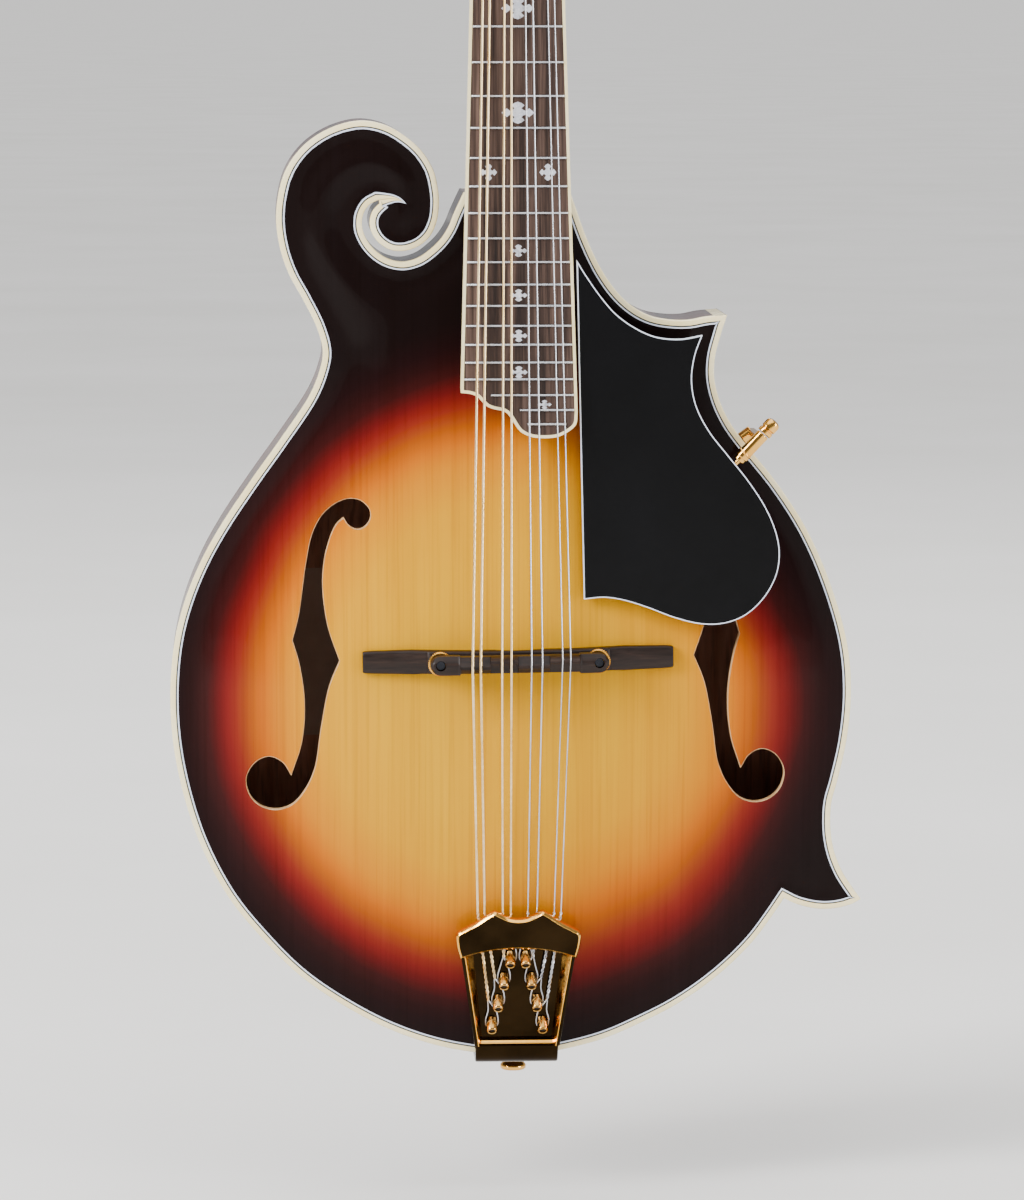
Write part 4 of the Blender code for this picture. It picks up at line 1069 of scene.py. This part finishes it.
guard_line = spline(PICKGUARD_EDGE, 1.5, True, [0, 7, len(PICKGUARD_EDGE) - 1])
guard_core = inset(guard_line, 0.4)
GUARD_LOW, GUARD_TOP, BRACKET_Z, FOOT_Z = 14.8, 17.0, 13.3, -19
piece("pickguard_plate", slab(guard_core, GUARD_LOW, GUARD_TOP), GUARD,
      stands_for=["pickguard"])
guard_rim = band(guard_line, guard_core, GUARD_LOW, GUARD_TOP - 0.02)
piece("pickguard_rim", guard_rim, WHITE_LINE)
bracket = rod((76, -285, BRACKET_Z), (91.4, -268.6, BRACKET_Z), 0.9)
for start, end, z, radius in (
    ((83.4, -277.1), (91.7, -268.3), BRACKET_Z, 2.5),
    ((82.4, -278.2), (83.8, -276.7), BRACKET_Z, 2.1),
    ((84.6, -275.8), (85.2, -275.2), BRACKET_Z, 2.9),
    ((90.6, -269.8), (86.57, -272.68), FOOT_Z, 2.4),
):
    rod((*start, z), (*end, z), radius, bracket, None, 28)
box((68, -293, 13.1), (79, -281, 14.5), bracket)
box((89.2, -271.3, -22), (91.8, -268.8, BRACKET_Z), bracket)
piece("guard_bracket", bracket, GOLD, stands_for=["pickguard_bracket"], bevel=0.3)
knob = lathe([
    (0, 0), (2.6, 0), (2.9, 0.3), (2.9, 1.5), (2.5, 1.8), (2.5, 2.1), (2.9, 2.5), (2.9, 4.8),
    (2.5, 5.7), (1.4, 6.3), (0, 6.4),
], None, along((91.9, -268.1, BRACKET_Z), (95.6, -264.2, BRACKET_Z)), 28)
piece("guard_clamp_knob", knob, GOLD, body="clamp_nut", stands_for=["pickguard_clamp_nut"])

# ---------------------------------------------------------------- the bridge


def base_rows():
    """Cross-sections of the bridge's foot, carved to sit on the arched top."""
    extra = [-34.2, 34.2, -58.2, 58.2]
    round_over = 0.8
    for x in np.unique(np.concatenate([np.arange(-58, 58.1, 1.0), extra])):
        far = abs(x)
        deep = float(np.interp(far, (20, 40, 55, 57.9, 58.2), (3.9, 4.5, 4.2, 4.0, 3.7)))
        top = float(np.interp(far, (33.8, 34.2, 46, 58.2), (19.4, 18.4, 16.4, 15.4)))
        spots = (BRIDGE @ Vector((x, 0, 0))).xy
        low = float(sample(TOP_FIELD, [spots])[0]) + 0.05
        if far < FOOT_ARCH:
            low = max(low, 3 + math.sqrt(FOOT_ARCH**2 - x * x))
        yield [
            (x, -deep, low), (x, -deep, top - round_over), (x, -deep + 0.3, top - 0.25),
            (x, -deep + round_over, top), (x, deep - round_over, top), (x, deep - 0.3, top - 0.25),
            (x, deep, top - round_over), (x, deep, low),
        ]


seats, bores = Shape(True), Shape(True)
for x in (-BRIDGE_POST_X, BRIDGE_POST_X):
    rod((x, 0, 14.6), (x, 0, 24), 2.1, seats, None, 24)
    rod((x, 0, 20), (x, 0, 36), 1.9, bores, None, 24)
piece("carved_bridge_foot", loft(list(base_rows())), BRIDGE_WOOD, BRIDGE,
      stands_for=["bridge_base"], cuts=[seats], sharp=40)

# Each pair of strings bears on its own crest: (from x, to x, crest's place along the strings).
CRESTS = ((-22.0, -11.2, -0.9), (-11.0, -0.9, 1.1), (-0.7, 10.9, -0.7), (11.1, 22.0, 1.0))


def saddle_rows():
    """Cross-sections of the saddle: four crests between two ears that ride on the posts."""
    edges = [v for first, last, _ in CRESTS for v in (first, last)]
    for x in np.unique(np.concatenate([np.arange(-33, 33.1, 0.5), edges, [-33.2, 33.2]])):
        far = abs(x)
        front, back = -3.1, 3.1
        if far > 22.2:
            swell = math.sqrt(max(0.0, 1 - (max(0.0, far - 29.4) / 3.9) ** 2))
            front, back = -3.7 * max(swell, 0.3), 3.5 * max(swell, 0.3)
        top, crest = 30.6, 0.0
        if far <= 22.0:
            top = 32.0
            for first, last, place in CRESTS:
                if first <= x <= last:
                    crest = place
        else:
            top = float(np.interp(far, (22, 23, 32, 33.2), (31.4, 30.9, 30.6, 29.6)))
        low = float(np.interp(far, (0, 32, 33.2), (24.6, 24.6, 25.6)))
        step = 0.9 if far <= 22 else 0.25
        yield [
            (x, front, low), (x, front, top - 1.4 - step), (x, crest - 1.3, top - step),
            (x, crest - 0.5, top), (x, crest + 0.5, top), (x, crest + 1.3, top - step),
            (x, back, top - 1.4 - step), (x, back, low),
        ]


piece("compensated_saddle", loft(list(saddle_rows())), BRIDGE_WOOD, BRIDGE, body="saddle",
      stands_for=["bridge_saddle"], cuts=[bores], sharp=30)
WHEEL_TEETH = 36
for side, name in ((-1, "bass"), (1, "treble")):
    rows = []
    for radius, z in (
        (1.8, 22.15), (4.2, 22.15), (4.6, 22.45), (4.6, 23.95), (4.2, 24.25), (1.8, 24.25),
    ):
        notch = 0.25 if radius > 4.3 else 0
        points = circle(1, 2 * WHEEL_TEETH)
        reaches = [radius - notch * (k % 2) for k in range(2 * WHEEL_TEETH)]
        rows.append([
            (side * BRIDGE_POST_X + reach * x, reach * y, z)
            for reach, (x, y) in zip(reaches, points)
        ])
    piece(name + "_height_wheel", hoop(rows), GOLD, BRIDGE, body=name + "_wheel",
          stands_for=[name + "_thumbwheel"], sharp=25)

# ---------------------------------------------------------------- the tailpiece

# The open tips of the hooks, in the tail's frame.
HOOK_TIPS = ((9.6, 12.3), (7.3, 21.2), (5.2, 30.1), (2.9, 38.9))
HOOKS = [(side * x, y) for side in (-1, 1) for x, y in HOOK_TIPS]
floor_line = [(-15.8, 4), (15.8, 4), (21.2, 41), (19.0, 50), (-19.0, 50), (-21.2, 41)]
tail = slab(floor_line, 0.02, 1.4, None, TAIL)
# The floor is gold plate carrying the painted dark reflection.
piece("tail_floor", tail, GOLD_PAINTED_DARK_REFLECTION, stands_for=["tailpiece"], bevel=0.2)
TURN_DOWN = [
    (-508, -30), (-508, 1.0), (-507.5, 2.5), (-506.3, 3.9), (-504.6, 5.0), (-502.4, 5.8),
    (-500.4, 6.2), (-500.4, 3.0), (-503.5, 1.5), (-506, -1.0), (-506, -30),
]
bend = loft([[(x, y, z) for y, z in TURN_DOWN] for x in (-15.7, 15.7)])
# The bend is gold plate carrying the painted dark reflection.
piece("tail_bend", bend, GOLD_PAINTED_DARK_REFLECTION, bevel=0.7, sharp=40)
rail_tops, rail_slopes = Shape(), Shape()
for side in (-1, 1):
    tops, slopes = [], []
    for y, outer, lip, inner in (
        (6.8, 16.1, 14.8, 13.0), (24, 18.6, 17.3, 14.8), (43, 21.5, 20.2, 16.9),
    ):
        top = (outer, 0.7), (outer, 5.9), (outer - 0.3, 6.2), (lip, 6.2), (lip, 0.7)
        slope = (lip, 0.7), (lip, 6.3), (lip - 0.3, 6.3), (inner, 2.6), (inner, 0.7)
        tops.append([(side * x, y, z) for x, z in top])
        slopes.append([(side * x, y, z) for x, z in slope])
    loft(tops, rail_tops, TAIL)
    loft(slopes, rail_slopes, TAIL)
# Both rail parts are the same gold plate: the tops carry a painted dark reflection and the slopes
# the bright gold, a shaded and a lit copy of one finish.
piece("tail_rail_tops", rail_tops, GOLD_PAINTED_DARK_REFLECTION, bevel=0.15, sharp=30)
piece("tail_rail_slopes", rail_slopes, GOLD, bevel=0.1, sharp=30)
BAR_SECTION = [(6.7, 3.0), (6.9, 3.7), (7.5, 3.9), (8.1, 3.4), (8.3, 1.2), (6.7, 1.2)]
end_bar = loft([[(x, y, z) for y, z in BAR_SECTION] for x in (-13.6, 13.6)], None, TAIL)
piece("tail_end_bar", end_bar, GOLD)
CROWN_BACK = [(21.9, 42.3), (18.5, 43.6), (10, 45.6)]
CROWN_FRONT = [
    (23.3, 48.0), (23.3, 52.6), (20.5, 54.5), (16.0, 57.0), (11.5, 60.1), (9.0, 61.6), (6.5, 60.2),
    (3.2, 58.7),
]
CROWN = [
    *[(-x, y) for x, y in CROWN_BACK], (0, 46.4), *CROWN_BACK[::-1],
    *CROWN_FRONT, (0, 58.3), *[(-x, y) for x, y in CROWN_FRONT[::-1]],
]
crown_line = spline(CROWN, 1.0, True, [0, 6, 12, 18])
CROWN_RIM = [
    (0, 4.6), (0, 6.5), (0.25, 7.0), (0.9, 7.6), (1.05, 7.55), (1.05, 6.4), (0.6, 4.6),
]
piece("crown_rim", rimmed(crown_line, CROWN_RIM), GOLD, TAIL, sharp=50)
# The crown's flat face is the same gold plate with a painted dark reflection; its rim stays bright
# gold.
piece("crown_mirror", slab(inset(crown_line, 1.0), 6.45, 7.5), GOLD_PAINTED_DARK_REFLECTION, TAIL)
HOOK_PROFILE = [
    (0, 0), (2.0, 0), (2.0, 4.9), (1.9, 5.3), (1.6, 5.55), (1.25, 5.4), (1.15, 4.6), (0, 4.6),
]
hooks, hollow_shades = Shape(), Shape()
for x, y in HOOKS:
    turn = along((x, y + 3.4, 1.0), (x, y + 0.2, 5.6))
    lathe(HOOK_PROFILE, hooks, turn, 28)
    # A thin near-black disc at the bottom of each hook's hollow: painted shade.
    lathe([(0, 4.62), (1.12, 4.62), (1.12, 4.74), (0, 4.74)], hollow_shades, turn, 20)
# The hooks' duller gold is painted dim reflection.
piece("loop_hooks", hooks, GOLD_PAINTED_DIM_REFLECTION, TAIL, sharp=50)
piece("loop_hook_hollow_shade", hollow_shades, HOOK_HOLLOW_SHADE, TAIL)
button_turn = Matrix.Translation((0, -508.3, -22)) @ Matrix.Rotation(math.pi / 2, 4, "X")
button = lathe([
    (0, -15), (2.1, -15), (2.1, 0), (4.4, 0), (4.6, 0.3), (4.3, 0.9), (3.7, 1.8), (3.4, 2.8),
    (3.6, 3.7), (4.2, 4.5), (4.8, 5.1), (5.0, 5.7), (4.9, 6.5), (4.4, 7.0), (3.0, 7.2), (0, 7.2),
], None, button_turn, 36)
piece("tail_strap_knob", button, GOLD, stands_for=["strap_button"], sharp=40)

# ---------------------------------------------------------------- the tuners

SCREW = [(0, 0.75), (0.9, 0.6), (1.5, 0.1), (1.5, -0.4), (0, -0.4)]
for side, name in ((-1, "bass"), (1, "treble")):
    low, high = sorted((side * 9.5, side * 24.5))
    middle_x = side * POST_ROW
    outline = [(low, 19.0), (high, 19.0), (high, 114.0), (low, 114.0)]
    shape = slab(outline, -14.5, -13.05, None, HEAD)
    holes, screw_heads = Shape(), Shape()
    for i in range(4):
        y = FIRST_POST + POST_PITCH * i
        worm_y = y - WORM_DROP
        rod((middle_x, y, -20), (middle_x, y, -10), 3.6, holes, HEAD, 24)
        for x in (middle_x - 6.7, middle_x + 5.3):
            box((x, worm_y - 2.6, -19.2), (x + 1.4, worm_y + 2.6, -14.0), shape, HEAD)
        rod((middle_x - 12, worm_y, WORM_Z), (middle_x + 12, worm_y, WORM_Z), 1.6, holes, HEAD)
    for y in (22.5, 44.5, 67.5, 90.5, 111.0):
        place = HEAD @ Matrix.Translation((side * 12.2, y, -14.5))
        lathe(SCREW, screw_heads, place @ Matrix.Rotation(math.pi, 4, "X"), 20)
    piece(name + "_tuner_base", shape, GOLD, stands_for=[name + "_tuner_plate"],
          cuts=[holes], bevel=0.2)
    piece(name + "_tuner_screws", screw_heads, GOLD)


def gear(x, y, shape):
    """A post's gear: a disc with slanting teeth."""
    rows = []
    for z in (-15.0, -15.3, -17.8, -18.1):
        chamfer = 0.3 if z in (-15.0, -18.1) else 0
        reaches = [(6.4 if k % 4 in (0, 1) else 5.7) - chamfer for k in range(64)]
        points = circle(1, 64, (z - WORM_Z) * 0.5)
        rows.append([(x + reach * a, y + reach * b, z) for reach, (a, b) in zip(reaches, points)])
    return loft(rows, shape)


POST_PROFILE = [
    (0, 15), (2.6, 15), (3.0, 14.6), (3.0, 9.4), (2.4, 8.2), (2.4, 6.4), (3.0, 5.2), (3.0, -15.1),
    (0, -15.1),
]
GEAR_SCREW = [(0, -19.0), (1.6, -19.0), (1.9, -18.7), (1.9, -18.0), (0, -18.0)]
BUSHING = [(3.3, 2.32), (5.6, 2.32), (5.6, 2.7), (4.4, 3.4), (3.3, 3.4)]
SHAFT_PROFILE = [
    (0, 36.6), (2.6, 36.6), (2.6, 34.6), (1.35, 34.0), (1.35, 21.9), (1.7, 21.9), (1.7, 12.1),
    (1.35, 12.1), (1.35, 9.6), (0, 9.6),
]
THREAD_PITCH, THREAD_TURNS = 1.45, 6
# A button's sections: (distance out along the shaft, half width, half thickness).
BUTTON = (
    (36.7, 2.2, 2.2), (37.6, 2.7, 2.5), (39.5, 4.9, 3.0), (42.5, 6.6, 3.1), (45.5, 6.5, 2.9),
    (48.0, 4.9, 2.6), (49.4, 2.9, 1.9), (49.9, 1.2, 0.9),
)
for number, x, y in post_places():
    side = math.copysign(1.0, x)
    place = Matrix.Translation((x, y, 0))
    post = gear(x, y, lathe(POST_PROFILE, None, place, 32))
    lathe(GEAR_SCREW, post, place, 24)
    z = STRING_HOLE_Z
    hole = rod((x - 6 * side, y, z), (x + 6 * side, y, z), 0.75, Shape(True), None, 16)
    piece(f"tuner_post_{number}", post, GOLD, HEAD, body=f"post_{number}",
          stands_for=[f"string_post_{number}"], cuts=[hole], sharp=35)
    bushing = lathe(BUSHING, None, place, 32, closed=True)
    piece(f"post_bushing_{number}", bushing, GOLD, HEAD)
    key_turn = (
        Matrix.Translation((0, y - WORM_DROP, WORM_Z))
        @ Matrix.Rotation(side * math.pi / 2, 4, "Y")
    )
    shaft = lathe(SHAFT_PROFILE, None, key_turn, 28)
    thread = [
        key_turn
        @ Vector((1.75 * math.cos(t), 1.75 * math.sin(t), 12.6 + t / math.tau * THREAD_PITCH))
        for t in np.linspace(0, math.tau * THREAD_TURNS, 145)
    ]
    tube(thread, 0.3, shaft, 6)
    piece(f"worm_shaft_{number}", shaft, GOLD, HEAD, body=f"key_{number}",
          stands_for=[f"tuner_button_{number}"], sharp=40)
    rows = [
        [key_turn @ Vector((thick * b, wide * a, out)) for a, b in circle(1, 24)]
        for out, wide, thick in BUTTON
    ]
    piece(f"pearloid_button_{number}", loft(rows), PEARLOID, HEAD, body=f"key_{number}",
          level=1)

# ---------------------------------------------------------------- the strings


def straight(points, step):
    """The same run of lines with more points on each."""
    out = []
    for a, b in zip(points, points[1:]):
        a, b = Vector(a), Vector(b)
        pieces = max(1, round((b - a).length / step))
        out += [a.lerp(b, k / pieces) for k in range(pieces)]
    return out + [Vector(points[-1])]


hook_order = sorted(HOOKS, key=lambda p: (p[0] > 0, p[1] if p[0] < 0 else -p[1]))
# The strings run in slightly towards the tail, and each ends in a loop round its hook.
TAIL_SPREAD = 0.86
LOOP = (
    (0, 12.0, 3.6), (1.5, 8.0, 3.4), (2.35, 4.2, 3.2), (1.9, 1.4, 2.4), (0, 0.4, 1.8),
    (-1.9, 1.4, 2.4), (-2.35, 4.2, 3.2), (-1.5, 8.0, 3.4), (0, 12.0, 3.6),
)
for (number, post_x, post_y), hook, at_saddle, at_nut, radius in zip(
    post_places(), hook_order, STRINGS_AT_SADDLE, STRINGS_AT_NUT, STRING_RADII
):
    side = math.copysign(1, post_x)
    wound = number <= 4
    look = WOUND_WIRE if wound else PLAIN_WIRE
    hook_x, hook_y = hook
    crown_x = at_saddle * TAIL_SPREAD
    knot = TAIL @ Vector((hook_x + (crown_x - hook_x) * 0.24, hook_y + 12.0, 3.6))
    crown_at = TAIL @ Vector((crown_x, 60.0, 4.2))
    crest = next(place for first, last, place in CRESTS if first <= at_saddle <= last)
    bear = Vector((
        at_saddle, -SCALE_LENGTH + crest + at_saddle * 0.013, SADDLE_TOP + radius + 0.02,
    ))
    lead = Vector((at_nut, 0.0, 3.62 + radius))
    over = Vector((at_nut, 4.8, 3.5 + radius))
    near_post = HEAD @ Vector((post_x - side * (2.5 + radius), post_y - 1.0, STRING_HOLE_Z))
    after = bear + Vector((0, 0.8, 0))
    before = bear - Vector((0, 0.8, 0))
    speaking = tube(straight([after, lead], 12), radius)
    tube(straight([lead + Vector((0, -0.2, 0)), over, near_post], 8), radius, speaking)
    obj = piece(f"speaking_string_{number}", speaking, look, body=None,
                stands_for=[f"string_{number}"])
    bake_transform(obj)
    rear_part = tube(straight([after, before, crown_at], 8), radius)
    twist = straight([crown_at, knot], 0.7)
    for phase in (0, math.pi):
        turned_path = [
            p + Vector((math.cos(k * 1.1 + phase), 0, math.sin(k * 1.1 + phase))) * 0.32
            for k, p in enumerate(twist)
        ]
        tube(turned_path, 0.3, rear_part, 6)
    obj = piece(f"tail_string_{number}", rear_part, look, body=None,
                stands_for=[f"string_{number}"])
    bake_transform(obj)
    loop = [TAIL @ Vector((hook_x + x, hook_y + y, z)) for x, y, z in LOOP]
    loop[0] = knot + Vector((0.2, 0, 0))
    loop[-1] = knot - Vector((0.2, 0, 0))
    piece(f"string_loop_{number}", tube(spline(loop, 0.8), 0.27, None, 8), PLAIN_WIRE)
    reach, climb = 2.45 + radius, radius * 2.05 / math.tau
    coil = [
        (post_x + reach * math.cos(t), post_y + reach * math.sin(t), 6.6 + t * climb)
        for t in np.linspace(0, math.tau * (1.5 if wound else 2.6), 80)
    ]
    piece(f"string_winding_{number}", tube(coil, radius, None, 8), look, HEAD,
          body=f"post_{number}")

# ---------------------------------------------------------------- parts carried over

for look, nodes in (
    (NECK_MAPLE, ["head_block"]),
    (BARE_WOOD, ["tail_block", "upper_point_block", "lower_point_block", "bass_tone_bar",
                 "treble_tone_bar"]),
    (STEEL, ["truss_rod"]),
    (BRASS, ["truss_rod_nut"]),
    # The bridge posts get the darkened steel: painted shade in the saddle's bores.
    (STEEL_PAINTED_SHADE, ["bass_bridge_post", "treble_bridge_post"]),
):
    for node in nodes:
        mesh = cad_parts[node].data
        mesh.materials.clear()
        mesh.materials.append(look)

# ---------------------------------------------------------------- floor, light and camera

FLOOR_Z = -0.56
SIDES = 96
REACHES = (0.4, 1.2, 3.0, 8.0, 24.0, 80.0, 700.0)
verts = [(x, y, FLOOR_Z) for reach in REACHES for x, y in circle(reach, SIDES)]
faces = [tuple(range(SIDES)), *walls(len(REACHES) - 1, SIDES, len(REACHES))]
floor_mesh = bpy.data.meshes.new("floor")
floor_mesh.from_pydata(verts, [], [faces[0]] + [face[::-1] for face in faces[1:]])
floor_mesh.shade_smooth()
floor = bpy.data.objects.new("floor", floor_mesh)
bpy.context.scene.collection.objects.link(floor)
floor_mesh.materials.append(plain("pale_floor", "E4E2DE", "EBE9E6", (3, 3, 3), (0.7, 0.8), 0.2))


def lamp(name, kind, power):
    light = bpy.data.lights.new(name, kind)
    light.energy = power
    obj = bpy.data.objects.new(name, light)
    bpy.context.scene.collection.objects.link(obj)
    return obj, light


def area_light(name, at, size, power):
    """A rectangular light aimed at the middle of the body."""
    obj, light = lamp(name, "AREA", power)
    light.shape = "RECTANGLE"
    light.size, light.size_y = size
    obj.location = at
    obj.rotation_euler = (Vector((0, 0, -0.3)) - Vector(at)).to_track_quat("-Z", "Y").to_euler()


area_light("key_light", (-2.3, -1.35, 1.1), (1.0, 1.5), 150)
area_light("fill_light", (2.4, -1.4, 0.2), (0.9, 1.6), 55)
overhead, sky = lamp("sky_light", "SUN", 2.6)
sky.angle = math.radians(70)
overhead.rotation_euler = (math.radians(14), 0, 0)
area_light("rear_light", (0.4, 1.9, 1.5), (1.8, 1.0), 30)
world = bpy.data.worlds.new("studio")
world.use_nodes = True
nodes, links = world.node_tree.nodes, world.node_tree.links
way = nodes.new("ShaderNodeSeparateXYZ")
links.new(nodes.new("ShaderNodeTexCoord").outputs["Generated"], way.inputs[0])
shade = nodes.new("ShaderNodeMapRange")
for key, value in (("From Min", -0.75), ("From Max", 0.4), ("To Min", 0.25), ("To Max", 0.6)):
    shade.inputs[key].default_value = value
links.new(way.outputs["Y"], shade.inputs["Value"])
links.new(shade.outputs["Result"], nodes["Background"].inputs["Strength"])
nodes["Background"].inputs["Color"].default_value = tint("E6E8EC")
bpy.context.scene.world = world

AIM = Vector((-1.55, 0, -331.6)) * 0.001
CAMERA_DISTANCE = 2.0
azimuth, elevation = math.radians(3), math.radians(6.5)
away = Vector((
    -math.sin(azimuth) * math.cos(elevation), -math.cos(azimuth) * math.cos(elevation),
    math.sin(elevation),
))
camera_data = bpy.data.cameras.new("camera")
camera_data.sensor_fit = "AUTO"
camera_data.sensor_width = 36
camera_data.lens = 159.4
camera_data.clip_start = 0.05
camera = bpy.data.objects.new("camera", camera_data)
camera.location = AIM + away * CAMERA_DISTANCE
camera.rotation_euler = (-away).to_track_quat("-Z", "Y").to_euler()
bpy.context.scene.collection.objects.link(camera)
bpy.context.scene.camera = camera
